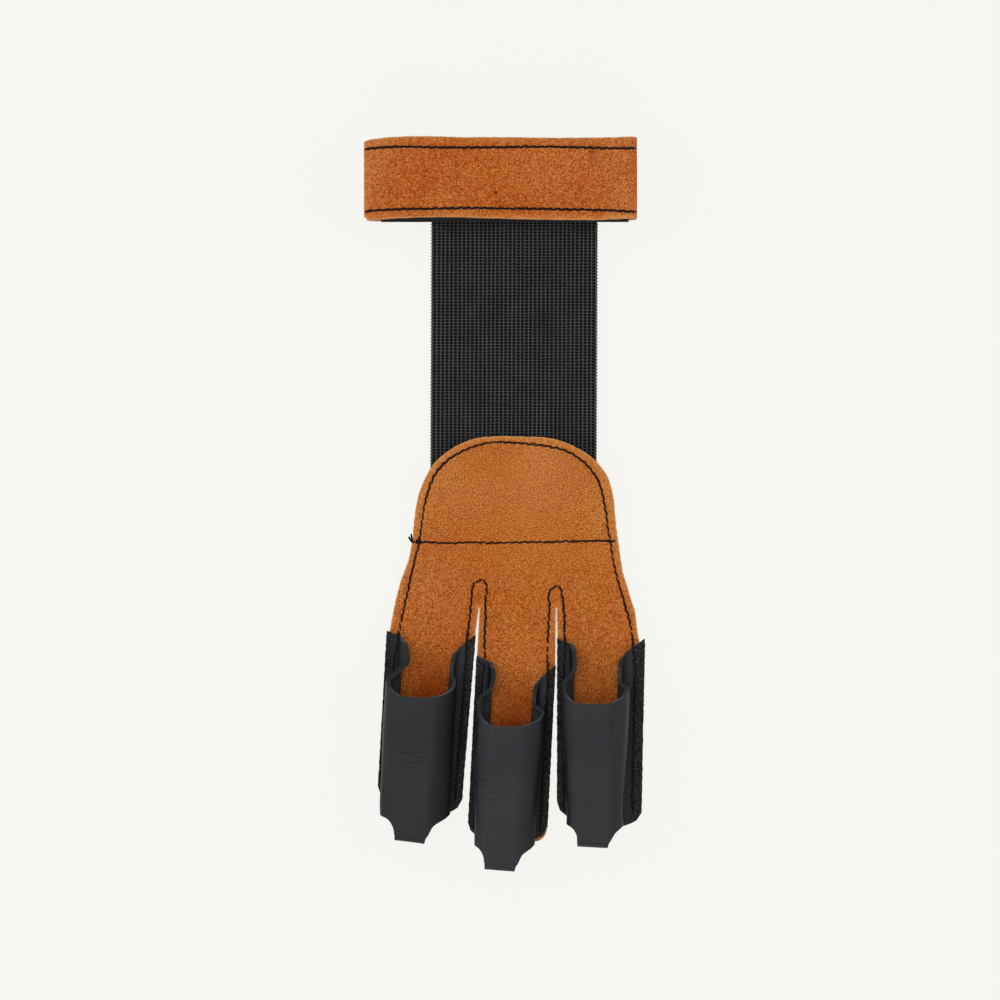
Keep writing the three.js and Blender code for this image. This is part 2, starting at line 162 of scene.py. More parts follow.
# Each finger's middle line and half width are shares of the finger width, at the root of the slits, at the
# stall's mouth and at its tip. Top, length and scallop are shares of the finger length. The tube's lean is
# sideways for each unit of height, at the mouth and at the tip. Tab_tilt is how much lower the tab's right
# corner hangs than its left one, and crease is where the crown wrinkles, both in millimetres. The last two
# are how red and dark the suede is inside the stall, partly its own tone and partly painted shade under the
# tube, and how much paler the crown is, a painted highlight, both from 0 to 1.
fingers = [
    dict(
        name="stall_left", root=-0.933, root_half=0.508, mouth=-0.985, mouth_half=0.515,
        tip=-1.124, tip_half=0.488, top=0.125, length=0.855, scallop=0.113, lean=-0.12,
        tip_lean=-0.215, tab_tilt=1.2, crease=-62.5, red_and_shade=0.92, crown_light=0.0,
    ),
    dict(
        name="stall_middle", root=0.039, root_half=0.458, mouth=0.017, mouth_half=0.469,
        tip=-0.085, tip_half=0.469, top=0.272, length=0.858, scallop=0.105, lean=-0.11,
        tip_lean=-0.18, tab_tilt=0.75, crease=-71.0, red_and_shade=0.9, crown_light=0.55,
    ),
    dict(
        name="stall_right", root=0.967, root_half=0.463, mouth=1.021, mouth_half=0.508,
        tip=0.998, tip_half=0.488, top=0.158, length=0.87, scallop=0.09, lean=-0.1,
        tip_lean=-0.06, tab_tilt=0.45, crease=-58.5, red_and_shade=0.4, crown_light=0.4,
    ),
]

# The two sides of each stall, left then right. Foot is how far the tube's wall stands in from the
# finger's edge, belly and tip_belly how far the tube swells at its mouth and its tip, and lobe how far
# its ear leans in, as shares of the finger width. Overhang is how far the flange reaches past the suede,
# ear how much higher than the finger's top the flange starts, and short how far above the tube's corner
# it stops, all in millimetres. Dim is the grid column up to which the wall, away from the crown, is
# darkened with painted shade. From turn to full, shares of the mouth's depth, the wall changes from the ear's
# inward lean to the tube's swell.
stall_sides = {
    "stall_left": [
        dict(foot=0.158, belly=0.109, tip_belly=0.08, lobe=0.095, overhang=0.8, ear=0.7, short=3.8,
             dim=5, turn=0.42, full=0.77),
        dict(foot=0.24, belly=0.084, tip_belly=0.125, lobe=0.01, overhang=0.2, ear=-0.5, short=-0.5,
             dim=13.5, turn=0.55, full=0.78),
    ],
    "stall_middle": [
        dict(foot=0.18, belly=0.11, tip_belly=0.042, lobe=0.04, overhang=0.2, ear=1.9, short=1.7,
             dim=10, turn=0.28, full=0.66),
        dict(foot=0.225, belly=0.156, tip_belly=0.095, lobe=0.01, overhang=0.2, ear=-0.8, short=0.5,
             dim=11.5, turn=0.54, full=0.8),
    ],
    "stall_right": [
        dict(foot=0.18, belly=0.09, tip_belly=0.037, lobe=0.03, overhang=0.1, ear=0.4, short=1.7,
             dim=11, turn=0.34, full=0.74),
        dict(foot=0.26, belly=0.112, tip_belly=0.054, lobe=0.01, overhang=0.8, ear=0.3, short=-1.5,
             dim=6, turn=0.58, full=0.8),
    ],
}

# The hand panel's outline: the arch's edge from shoulder to shoulder, then the palm's side edges
panel_arch = [
    (-29.7, 10.5), (-28.7, 14.6), (-27.5, 17.9), (-25.1, 22.8), (-21.2, 26.6), (-17.0, 29.3), (-12.6, 31.1),
    (-5.6, 31.9), (2.6, 31.8), (10.1, 31.4), (14.4, 30.4), (18.8, 28.5), (22.3, 26.4), (25.2, 23.9),
    (27.6, 20.4), (29.2, 15.9), (29.9, 12.9), (30.2, 10.5),
]
palm_edges = [
    dict(y=-20.2, left=-36.6, right=36.3),
    dict(y=-17.2, left=-35.9, right=35.3),
    dict(y=-13.5, left=-35.0, right=34.2),
    dict(y=-9.9, left=-33.8, right=33.1),
    dict(y=-6.2, left=-32.4, right=32.3),
    dict(y=-2.6, left=-31.5, right=31.9),
    dict(y=0.0, left=-31.0, right=31.5),
    dict(y=4.7, left=-30.5, right=30.8),
    dict(y=10.5, left=-29.7, right=30.2),
]

# The sewn line round the panel, from the left finger over the arch to the right finger, then the lines round
# the two slits and the seam across, from left to right
perimeter_line = [
    (-34.4, -23.8), (-33.8, -21.4), (-33.1, -17.7), (-32.3, -14.7), (-31.6, -10.7), (-30.7, -7.4),
    (-30.2, -5.1), (-29.5, -2.8), (-28.9, -1.0), (-28.3, 4.0), (-27.8, 7.6), (-27.2, 11.1),
    (-26.3, 14.7), (-25.3, 17.9), (-24.0, 20.6), (-22.2, 22.8), (-20.1, 24.8), (-17.5, 26.5),
    (-14.5, 28.0), (-11.5, 29.2), (-8.4, 29.9), (-5.4, 30.15), (-0.9, 30.0), (3.2, 29.7),
    (7.2, 29.3), (9.8, 28.9), (12.8, 28.3), (15.3, 27.6), (17.5, 26.6), (19.9, 25.0),
    (22.4, 22.7), (24.3, 20.2), (25.6, 17.9), (26.5, 15.0), (27.2, 11.6), (27.8, 8.1),
    (28.3, 4.0), (28.9, 0.5), (29.3, -2.0), (29.7, -5.1), (30.3, -7.7), (31.1, -10.7),
    (32.0, -14.1), (32.9, -16.8), (33.8, -20.2), (34.6, -22.6), (35.1, -24.8),
]
left_slit_line = [
    (-14.2, -27.6), (-13.4, -20.8), (-13.1, -17.7), (-12.8, -14.7), (-12.3, -12.9), (-11.1, -12.1),
    (-9.6, -11.8), (-9.0, -12.4), (-8.4, -13.8), (-8.5, -15.3), (-8.8, -17.7), (-8.8, -22.3),
    (-9.0, -26.8), (-9.1, -31.4),
]
right_slit_line = [
    (10.1, -29.9), (10.3, -25.3), (10.6, -19.2), (10.6, -15.6), (11.3, -14.5), (12.3, -13.8),
    (13.7, -13.9), (14.2, -15.3), (14.7, -17.7), (15.0, -20.8), (15.2, -23.8), (15.1, -27.6),
]
cross_line = [
    (-29.6, -0.1), (-26.0, -0.15), (-22.6, -0.4), (-18.1, -0.4), (-13.5, -0.2), (-7.4, -0.4),
    (-1.4, -0.3), (4.7, -0.15), (9.2, -0.15), (13.8, 0.0), (19.9, 0.1), (25.9, 0.2),
    (29.4, 0.05),
]
# Knots where the seam's thread is fastened off, each a few short stitches, and its two loose ends
knot_lines = [
    [(-29.5, 0.3), (-28.4, -0.3)],
    [(-29.3, -0.35), (-28.3, 0.1)],
    [(-28.9, 0.7), (-29.1, -0.8)],
    [(28.5, 0.25), (29.8, 0.0)],
    [(28.9, 0.0), (30.2, 0.15)],
]
loose_ends = [
    [(-30.8, -0.1, 2.4), (-31.2, 0.8, 2.6), (-31.35, 2.0, 2.8)],
    [(-31.0, -0.2, 2.0), (-31.7, 0.6, 2.2), (-32.0, 1.2, 2.3)],
]

# Half of a stall's section, from the flange's edge to the crown, in shares: out of the flange, round and lift
# of the foot's radius, swell of the belly, to_tab of the way in to the tab's edge, to_middle of the way on to
# the middle, and rise of the height above the foot. What a row leaves out is 0.
half_section = [
    dict(out=1),
    dict(round=1),
    dict(round=0.3, lift=0.3),
    dict(lift=1),
    dict(lift=1, swell=0.55, rise=0.2),
    dict(lift=1, swell=1, rise=0.46),
    dict(lift=1, swell=0.8, to_tab=0.05, rise=0.74),
    dict(lift=1, swell=0.2, to_tab=0.4, rise=0.93),
    dict(lift=1, to_tab=1, rise=0.99),
    dict(lift=1, to_middle=1, rise=1),
]
section_shares = ("out", "round", "lift", "swell", "to_tab", "to_middle", "rise")

# The station at each numbered column, and the columns at the tube's corner, the tab's edge and the crown
section_stops = [0, 1, 2, 3, 3.5, 4, 4.5, 5, 5.5, 6, 6.5, 7, 7.5, 8, 9]
CORNER_COLUMN = 7
TAB_COLUMN = 13
CROWN_COLUMN = 14

# Where the mouth's edge crosses each station of the section, as shares of the mouth's depth, for the left and
# the right ear
mouth_edge = [
    dict(station=0, left=0.0, right=0.0),
    dict(station=1, left=0.07, right=0.22),
    dict(station=2, left=0.09, right=0.31),
    dict(station=3, left=0.13, right=0.43),
    dict(station=4, left=0.21, right=0.52),
    dict(station=5, left=0.47, right=0.65),
    dict(station=6, left=0.81, right=0.86),
    dict(station=7, left=0.94, right=0.955),
    dict(station=8, left=0.98, right=0.985),
    dict(station=9, left=1.0, right=1.0),
]

# How far the strap's edges and its sewn rows stray from straight, in millimetres, along the band from the
# flap's free end: along is a share of the strap's length
strap_edges = [
    dict(along=0, top=-1.5, bottom=0.35, top_row=-3.85, bottom_row=2.05),
    dict(along=0.018, top=-1.05, bottom=-0.3, top_row=-3.7, bottom_row=2.1),
    dict(along=0.06, top=-0.5, bottom=-0.35, top_row=-3.35, bottom_row=2.45),
    dict(along=0.13, top=0.0, bottom=0.05, top_row=-3.05, bottom_row=2.75),
    dict(along=0.25, top=0.15, bottom=0.42, top_row=-3.2, bottom_row=2.9),
    dict(along=0.36, top=-0.1, bottom=0.38, top_row=-3.2, bottom_row=3.2),
    dict(along=0.5, top=-0.05, bottom=0.05, top_row=-3.05, bottom_row=3.1),
    dict(along=0.66, top=-0.15, bottom=-0.22, top_row=-2.85, bottom_row=3.0),
    dict(along=0.9, top=0.05, bottom=-0.1, top_row=-3.2, bottom_row=2.65),
    dict(along=1.0, top=0.3, bottom=0.35, top_row=-3.2, bottom_row=2.4),
    dict(along=1.06, top=0.1, bottom=0.5, top_row=-3.1, bottom_row=3.1),
    dict(along=1.2, top=0, bottom=0.5, top_row=-3.1, bottom_row=3.1),
    dict(along=3.4, top=0, bottom=0.5, top_row=-3.1, bottom_row=3.1),
]

# Marks on the strap: a small dark spot and a faint reddish streak, by place, half width and half height in
# millimetres
strap_marks = [
    dict(x=-5.7, y=105.15, wide=0.75, tall=0.8, strength=1.0),
    dict(x=23.6, y=116.0, wide=1.6, tall=4.5, strength=0.4),
]


# Measuring and shaping
def place(points):
    """Points in metres in the CAD's frame, from millimetres round the seam's middle."""
    return (np.asarray(points, float) + SEAM) * MM


def ease(value, low, high):
    """Goes smoothly from 0 at low to 1 at high."""
    share = np.clip((np.asarray(value, float) - low) / (high - low), 0, 1)
    return share * share * (3 - 2 * share)


def fade(away, width):
    """1 at no distance, and smoothly less over a width."""
    return np.exp(-(away / width) ** 2)


def mix(low, high, share):
    return low + (high - low) * share


def smooth_read(known, values, at):
    """Values at places between known ones, on a smooth curve through them."""
    known, values = np.asarray(known, float), np.asarray(values, float)
    at = np.clip(at, known[0], known[-1])
    slope = np.gradient(values, known, axis=0)
    low = np.clip(np.searchsorted(known, at, side="right") - 1, 0, len(known) - 2)
    width = known[low + 1] - known[low]
    share = (at - known[low]) / width
    if values.ndim > 1:
        width, share = width[..., None], share[..., None]
    start = (1 + 2 * share) * (1 - share) ** 2 * values[low] + share * (1 - share) ** 2 * width * slope[low]
    end = share ** 2 * (3 - 2 * share) * values[low + 1] + share ** 2 * (share - 1) * width * slope[low + 1]
    return start + end


def read(table, key, at, column):
    """A column of a table between its rows."""
    return smooth_read([row[key] for row in table], [row[column] for row in table], at)


def run_length(points):
    steps = np.linalg.norm(np.diff(np.asarray(points, float), axis=0), axis=1)
    return np.concatenate([[0], np.cumsum(steps)])


def smooth_line(corners, spacing=0.4):
    """A smooth line through corner points, with its points one spacing apart."""
    reach = run_length(corners)
    return smooth_read(reach, corners, np.linspace(0, reach[-1], int(reach[-1] / spacing) + 2))


def roughness_at(points, size, seed):
    """Smooth noise from -1 to 1 at each point, with features of a size in millimetres."""
    shift = Vector((seed * 17.3, seed * 5.1, seed * 9.7))
    flat = np.asarray(points, float).reshape(-1, 3)
    values = [noise.noise(Vector(point) / size + shift) for point in flat]
    return np.array(values).reshape(np.asarray(points).shape[:-1])


def nearest_distance(targets, points):
    """How far each point is from the nearest target."""
    found = kdtree.KDTree(len(targets))
    for index, target in enumerate(targets):
        found.insert(Vector(target), index)
    found.balance()
    return np.array([found.find(Vector(point))[2] for point in points])


# Node trees
def add_node(tree, kind, inputs=None, **settings):
    """A node with its settings, and its inputs given as values or as other nodes' outputs."""
    made = tree.nodes.new(kind)
    for key, value in settings.items():
        setattr(made, key, value)
    for key, value in (inputs or {}).items():
        socket = made.inputs[key]
        if isinstance(value, bpy.types.NodeSocket):
            tree.links.new(value, socket)
        else:
            socket.default_value = value
    return made


def calculate(tree, operation, *values):
    return add_node(tree, "ShaderNodeMath", dict(enumerate(values)), operation=operation).outputs[0]


def times(tree, first, second):
    return calculate(tree, "MULTIPLY", first, second)


def plus(tree, first, second):
    return calculate(tree, "ADD", first, second)


def vector_math(tree, operation, *values):
    return add_node(tree, "ShaderNodeVectorMath", dict(enumerate(values)), operation=operation).outputs


def xyz(tree, x=0.0, y=0.0, z=0.0):
    return add_node(tree, "ShaderNodeCombineXYZ", {0: x, 1: y, 2: z}).outputs[0]


def blend_colours(tree, share, first, second):
    """A blend of two colours, each given as red, green and blue or as another node's output."""
    first, second = [(*colour, 1) if isinstance(colour, tuple) else colour for colour in (first, second)]
    made = add_node(tree, "ShaderNodeMix", {0: share, 6: first, 7: second}, data_type="RGBA")
    return made.outputs[2]


def layered(tree, colour, layers):
    """A colour with other colours blended over it in turn, each by its own share."""
    for share, tone in layers:
        colour = blend_colours(tree, share, colour, tone)
    return colour


def noise_at(tree, where, scale, detail=3.0, rough=0.55):
    inputs = {"Vector": where, "Scale": scale, "Detail": detail, "Roughness": rough}
    return add_node(tree, "ShaderNodeTexNoise", inputs).outputs["Fac"]


def ramp(tree, value, low, high, from_value=0.0, to_value=1.0):
    """A value taken from one range to another and held inside it."""
    inputs = {0: value, 1: low, 2: high, 3: from_value, 4: to_value}
    return add_node(tree, "ShaderNodeMapRange", inputs, clamp=True).outputs[0]


def cells_at(tree, where, scale):
    return add_node(tree, "ShaderNodeTexVoronoi", {"Vector": where, "Scale": scale}).outputs["Distance"]


def attribute(tree, name):
    return add_node(tree, "ShaderNodeAttribute", attribute_name=name).outputs["Fac"]


def new_material(name, **constants):
    """A material with its tree, its shader and the object's own coordinates."""
    material = bpy.data.materials.new(name)
    material.use_nodes = True
    tree = material.node_tree
    shader = tree.nodes["Principled BSDF"]
    for key, value in constants.items():
        shader.inputs[key.replace("_", " ").title().replace("Ior", "IOR")].default_value = value
    where = add_node(tree, "ShaderNodeTexCoord").outputs["Object"]
    return material, tree, shader, where


def raise_surface(tree, shader, height, distance, strength=0.8):
    inputs = {"Height": height, "Distance": distance, "Strength": strength}
    bump = add_node(tree, "ShaderNodeBump", inputs)
    tree.links.new(bump.outputs[0], shader.inputs["Normal"])


# Colours, as red, green and blue
panel_colours = dict(
    base=(0.575, 0.139, 0.0168), dark=(0.295, 0.037, 0.0018), light=(0.652, 0.208, 0.033),
    edge=(0.87, 0.41, 0.13))
strap_colours = dict(
    base=(0.535, 0.102, 0.0098), dark=(0.295, 0.037, 0.0018), light=(0.628, 0.176, 0.028),
    edge=(0.85, 0.375, 0.115))
# The paler crown colour is a painted highlight on the stalls' crowns, and the foot colour painted shade on
# their walls
leather_colours = dict(
    dark=(0.0125, 0.0138, 0.0168), light=(0.0175, 0.0190, 0.0225), crown_light=(0.0265, 0.0285, 0.0325),
    fuzz_dark=(0.006, 0.006, 0.006), fuzz_light=(0.06, 0.06, 0.057), foot=(0.0025, 0.0025, 0.0028),
    lining_dark=(0.012, 0.015, 0.016), lining_light=(0.038, 0.045, 0.047), speck=(0.085, 0.085, 0.085))
MARK_COLOUR = (0.16, 0.022, 0.006)


# Finishes
def suede(name, colours, marks=()):
    """Napped suede: grainy nap, small mottling, cloudy patches, and a paler rubbed edge."""
    base, dark, light, edge = [colours[key] for key in ("base", "dark", "light", "edge")]
    material, tree, shader, where = new_material(
        name, roughness=0.95, specular_ior_level=0.1, sheen_weight=0.12, sheen_roughness=0.5,
        sheen_tint=(*light, 1),
    )
    grain = noise_at(tree, where, scale=2500, detail=2.0, rough=0.6)
    nap = noise_at(tree, where, scale=1150, detail=3.0, rough=0.6)
    mottle = noise_at(tree, where, scale=330, detail=4.0, rough=0.6)
    cloud = noise_at(tree, where, scale=45, detail=3.0, rough=0.5)
    colour = blend_colours(tree, ramp(tree, cloud, 0.34, 0.68, 0.15, 0.75), base, light)
    # Redder and darker inside the stalls: partly the suede's own tone, partly painted shade under the tubes,
    # where the flecks fade too
    red_and_shade = attribute(tree, "red_and_shade")
    flecks = times(tree, ramp(tree, grain, 0.53, 0.66, 0.0, 0.6), ramp(tree, red_and_shade, 1.0, 0.0, 0.15, 1.0))
    from_edge = attribute(tree, "edge")
    soft_rim = ramp(tree, from_edge, 2.4, 0.8, 0.0, 0.2)
    rubbed = calculate(tree, "MAXIMUM", soft_rim, ramp(tree, from_edge, 0.55, 0.1))
    colour = layered(tree, colour, [
        # Paler where marked: on the strap's folded ends a painted highlight, elsewhere the suede's own paler
        # patches and a paler arch
        (times(tree, attribute(tree, "pale"), 0.55), edge),
        (times(tree, red_and_shade, 0.8), dark),
        (ramp(tree, mottle, 0.5, 0.3, 0.0, 0.25), dark),
        (ramp(tree, nap, 0.5, 0.36, 0.0, 0.25), dark),
        (ramp(tree, nap, 0.56, 0.74, 0.0, 0.2), edge),
        (ramp(tree, grain, 0.49, 0.36, 0.0, 0.9), dark),
        (flecks, edge),
        (times(tree, rubbed, ramp(tree, nap, 0.35, 0.6, 0.35, 1.0)), edge),
    ])
    for mark in marks:
        middle = place((mark["x"], mark["y"], flap_height + STRAP_SUEDE / 2))
        size = (1 / (mark["wide"] * MM), 1 / (mark["tall"] * MM), 1 / (STRAP_SUEDE * MM))
        offset = vector_math(tree, "SUBTRACT", where, tuple(middle))[0]
        shared = vector_math(tree, "MULTIPLY", offset, size)[0]
        away = vector_math(tree, "LENGTH", shared)["Value"]
        colour = blend_colours(tree, ramp(tree, away, 1.0, 0.3, 0.0, mark["strength"]), colour, MARK_COLOUR)
    tree.links.new(colour, shader.inputs["Base Color"])
    height = plus(tree, nap, times(tree, grain, 0.6))
    raise_surface(tree, shader, height, distance=0.0004)
    return material


def cut_fibre(name, base, light):
    """The cut edge of suede or leather, with its loose fibres."""
    material, tree, shader, where = new_material(
        name, roughness=0.95, specular_ior_level=0.1, sheen_weight=0.3,
    )
    fibre = noise_at(tree, where, scale=1800, detail=4.0, rough=0.7)
    colour = blend_colours(tree, ramp(tree, fibre, 0.35, 0.7), base, light)
    tree.links.new(colour, shader.inputs["Base Color"])
    raise_surface(tree, shader, fibre, distance=0.0003)
    return material


def smooth_leather():
    """Black smooth leather: fine grain, soft creases, a fibrous flange, a few pale specks, a painted
    highlight on the crowns and painted shade on the walls.
    """
    material, tree, shader, where = new_material("black_leather", specular_ior_level=0.26)
    grain = cells_at(tree, where, 1500.0)
    pores = noise_at(tree, where, scale=2200, detail=3.0, rough=0.6)
    cloud = noise_at(tree, where, scale=90, detail=3.0, rough=0.5)
    flesh = noise_at(tree, where, scale=1500, detail=4.0, rough=0.7)
    flange = attribute(tree, "flange")
    foot = attribute(tree, "foot")
    tones = leather_colours
    colour = blend_colours(tree, cloud, tones["dark"], tones["light"])
    fuzzy = blend_colours(tree, ramp(tree, flesh, 0.44, 0.7), tones["fuzz_dark"], tones["fuzz_light"])
    lining = blend_colours(tree, ramp(tree, flesh, 0.4, 0.7), tones["lining_dark"], tones["lining_light"])
    specks = ramp(tree, cells_at(tree, where, 420.0), 0.11, 0.06)
    scattered = times(tree, specks, ramp(tree, cloud, 0.48, 0.62))
    colour = layered(tree, colour, [
        # A painted highlight: the stall's crown paler toward its top
        (attribute(tree, "crown_light"), tones["crown_light"]),
        (flange, fuzzy),
        # Painted shade on the stall's walls, from the foot up
        (foot, tones["foot"]),
        (attribute(tree, "inside"), lining),
        (times(tree, scattered, 0.5), tones["speck"]),
    ])
    tree.links.new(colour, shader.inputs["Base Color"])
    sheen = ramp(tree, cloud, 0.3, 0.7, 0.44, 0.52)
    dull = calculate(tree, "MAXIMUM", times(tree, flange, 0.9), times(tree, foot, 0.75))
    tree.links.new(calculate(tree, "MAXIMUM", sheen, dull), shader.inputs["Roughness"])
    fine = plus(tree, times(tree, grain, 0.5), times(tree, pores, 0.4))
    coarse = times(tree, times(tree, flesh, flange), 5.0)
    drawn_out = vector_math(tree, "MULTIPLY", where, (0.12, 1.0, 1.0))[0]
    wrinkle = noise_at(tree, drawn_out, scale=1100, detail=2.0, rough=0.6)
    lines = times(tree, ramp(tree, wrinkle, 0.5, 0.72), attribute(tree, "creased"))
    coarse = calculate(tree, "SUBTRACT", coarse, times(tree, lines, 3.2))
    raise_surface(tree, shader, plus(tree, fine, coarse), distance=0.00009)
    return material


def yarn(name, dark, light, scale=1600, sheen=0.15, roughness=0.75):
    """Spun or braided yarn, with a slight change of shade along it."""
    material, tree, shader, where = new_material(
        name, roughness=roughness, specular_ior_level=0.25, sheen_weight=sheen, sheen_roughness=0.4,
    )
    twist = noise_at(tree, where, scale, detail=3.0, rough=0.6)
    shade = noise_at(tree, where, scale=140, detail=3.0, rough=0.6)
    tone = plus(tree, times(tree, twist, 0.6), times(tree, shade, 0.4))
    colour = blend_colours(tree, ramp(tree, tone, 0.36, 0.64), dark, light)
    tree.links.new(colour, shader.inputs["Base Color"])
    raise_surface(tree, shader, twist, distance=0.0001, strength=0.6)
    return material


panel_suede = suede("panel_suede", panel_colours)
strap_suede = suede("strap_suede", strap_colours, strap_marks)
suede_edge = cut_fibre("suede_cut_edge", (0.40, 0.12, 0.022), (0.72, 0.36, 0.12))
black_leather = smooth_leather()
leather_edge = cut_fibre("leather_cut_edge", (0.010, 0.012, 0.013), (0.038, 0.044, 0.046))
webbing_yarn = yarn("webbing_yarn", (0.031, 0.035, 0.036), (0.086, 0.094, 0.097))
webbing_core = yarn("webbing_core", (0.0004, 0.0004, 0.0004), (0.001, 0.001, 0.001), sheen=0.0, roughness=1.0)
tape_black = yarn("tape_black", (0.006, 0.006, 0.007), (0.014, 0.014, 0.015))
black_thread = yarn(
    "black_thread", (0.002, 0.001, 0.001), (0.009, 0.004, 0.004), scale=2600, sheen=0.0, roughness=0.8)


# Pieces
def in_scene(name, data):
    """A new object in the scene, with its mesh, curve, light or camera."""
    made = bpy.data.objects.new(name, data)
    bpy.context.scene.collection.objects.link(made)
    return made


def plain_mesh(working):
    """What an object's modifiers make of it, as a plain mesh. The object itself goes."""
    shape = working.evaluated_get(bpy.context.evaluated_depsgraph_get())
    mesh = bpy.data.meshes.new_from_object(shape)
    bpy.data.objects.remove(working)
    return mesh


def add_piece(name, mesh):
    piece = in_scene(name, mesh)
    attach(piece, "root")
    return piece


def round_edges(mesh, width):
    """Rounds a wall's cut edges and gives back the finished mesh."""
    working = in_scene("working", mesh)
    bevel = working.modifiers.new("rounding", "BEVEL")
    bevel.width = width * MM
    bevel.segments = 2
    bevel.limit_method = "ANGLE"
    bevel.angle_limit = math.radians(50)
    finished = plain_mesh(working)
    bpy.data.meshes.remove(mesh)
    return finished


def wall(name, middle, thickness, materials, present=None, relief=None, under_relief=None, marks=None):
    """A closed wall of leather or cloth round a grid of middle points, its cut edges in the second material.

    The grid's rows and columns turn left-handed seen from the side that relief lowers or raises. Marks are
    named values for the materials, one for each grid point, and every point also gets its distance from the
    nearest cut edge and whether it lies on the wall's other side.
    """
    rows, columns = middle.shape[0] - 1, middle.shape[1] - 1
    present = np.ones((rows, columns), bool) if present is None else present
    corner = np.arange((rows + 1) * (columns + 1)).reshape(rows + 1, columns + 1)
    rings = np.stack([corner[:-1, :-1], corner[1:, :-1], corner[1:, 1:], corner[:-1, 1:]], axis=-1)
    cells = rings[present]
    flat = middle.reshape(-1, 3)
    facing = np.cross(flat[cells[:, 2]] - flat[cells[:, 0]], flat[cells[:, 3]] - flat[cells[:, 1]])
    normal = np.zeros_like(flat)
    for side in range(4):
        np.add.at(normal, cells[:, side], facing)
    normal /= np.maximum(np.linalg.norm(normal, axis=1, keepdims=True), 1e-12)
    upper = flat + normal * (thickness / 2 + (0 if relief is None else relief.reshape(-1, 1)))
    lower = flat - normal * (thickness / 2 + (0 if under_relief is None else under_relief.reshape(-1, 1)))
    padded = np.pad(present, 1)
    beside = [padded[1:-1, :-2], padded[2:, 1:-1], padded[1:-1, 2:], padded[:-2, 1:-1]]
    cut_faces = []
    cut_points = set()
    count = len(flat)
    for side in range(4):
        open_cells = rings[present & ~beside[side]]
        first, second = open_cells[:, side], open_cells[:, (side + 1) % 4]
        cut_faces.append(np.stack([first, first + count, second + count, second], axis=-1))
        cut_points.update(first.tolist() + second.tolist())
    faces = np.concatenate([cells, cells[:, ::-1] + count, *cut_faces])
    slots = np.zeros(len(faces), int)
    slots[2 * len(cells):] = 1
    used, renumbered = np.unique(faces, return_inverse=True)
    mesh = bpy.data.meshes.new(name)
    points = np.concatenate([upper, lower])[used]
    mesh.from_pydata(place(points).tolist(), [], renumbered.reshape(faces.shape).tolist())
    mesh.polygons.foreach_set("material_index", slots)
    mesh.polygons.foreach_set("use_smooth", np.ones(len(faces), bool))
    distance = nearest_distance(flat[sorted(cut_points)], flat[used % count])
    own = {"edge": distance, "inside": used >= count}
    for label, values in {**own, **(marks or {})}.items():
        stored = mesh.attributes.new(label, "FLOAT", "POINT")
        values = values if label in own else np.tile(values.reshape(-1), 2)[used]
        stored.data.foreach_set("value", np.asarray(values, np.float32))
    for material in materials:
        mesh.materials.append(material)
    return round_edges(mesh, EDGE_BEVEL)


def grown(name, tree, base, sizes=None):
    """The plain mesh that a node tree makes on a base mesh or curve."""
    working = in_scene("working", base)
    modifier = working.modifiers.new(tree.name, "NODES")
    modifier.node_group = tree
    for item in tree.interface.items_tree:
        if item.in_out == "INPUT" and item.name in (sizes or {}):
            modifier[item.identifier] = sizes[item.name]
    mesh = plain_mesh(working)
    mesh.name = name
    return mesh


def new_tree(name, sizes):
    """A node tree for shapes, with its sizes as named inputs."""
    tree = bpy.data.node_groups.new(name, "GeometryNodeTree")
    tree.interface.new_socket("Geometry", in_out="INPUT", socket_type="NodeSocketGeometry")
    for label, value in sizes.items():
        kind = "NodeSocketInt" if isinstance(value, int) else "NodeSocketFloat"
        if isinstance(value, bpy.types.Material):
            kind = "NodeSocketMaterial"
        tree.interface.new_socket(label, in_out="INPUT", socket_type=kind).default_value = value
    tree.interface.new_socket("Geometry", in_out="OUTPUT", socket_type="NodeSocketGeometry")
    given = tree.nodes.new("NodeGroupInput").outputs
    result = tree.nodes.new("NodeGroupOutput").inputs
    return tree, given, result


def finish_tree(tree, result, instances, material):
    solid = add_node(tree, "GeometryNodeRealizeInstances", {0: instances}).outputs[0]
    smooth = add_node(tree, "GeometryNodeSetShadeSmooth", {0: solid}).outputs[0]
    painted = add_node(tree, "GeometryNodeSetMaterial", {"Geometry": smooth, "Material": material})
    tree.links.new(painted.outputs[0], result[0])


def tube(tree, line, width, sides):
    ring = add_node(tree, "GeometryNodeCurvePrimitiveCircle",
                    {"Resolution": sides, "Radius": times(tree, width, 0.5)}).outputs[0]
    return add_node(tree, "GeometryNodeCurveToMesh",
                    {"Curve": line, "Profile Curve": ring, "Fill Caps": True}).outputs[0]


def random_vector(tree, low, high, seed):
    inputs = {0: low, 1: high, "Seed": seed}
    return add_node(tree, "FunctionNodeRandomValue", inputs, data_type="FLOAT_VECTOR").outputs[0]


def turned_a_little(tree, rotation, low, high, seed):
    """A rotation with a random turn of its own added, between two vectors of angles."""
    turn = add_node(tree, "FunctionNodeEulerToRotation", {0: random_vector(tree, low, high, seed)}).outputs[0]
    inputs = {0: rotation, 1: turn}
    return add_node(tree, "FunctionNodeRotateRotation", inputs, rotation_space="LOCAL").outputs[0]


def copies(tree, points, instance, **more):
    inputs = {"Points": points, "Instance": instance, **more}
    return add_node(tree, "GeometryNodeInstanceOnPoints", inputs).outputs[0]


def strewn(tree, points, instance, rotation, low, high, seed):
    """Copies on points, turned by a rotation and each of a random size from low to high."""
    size = random_vector(tree, (low,) * 3, (high,) * 3, seed)
    return copies(tree, points, instance, Rotation=rotation, Scale=size)


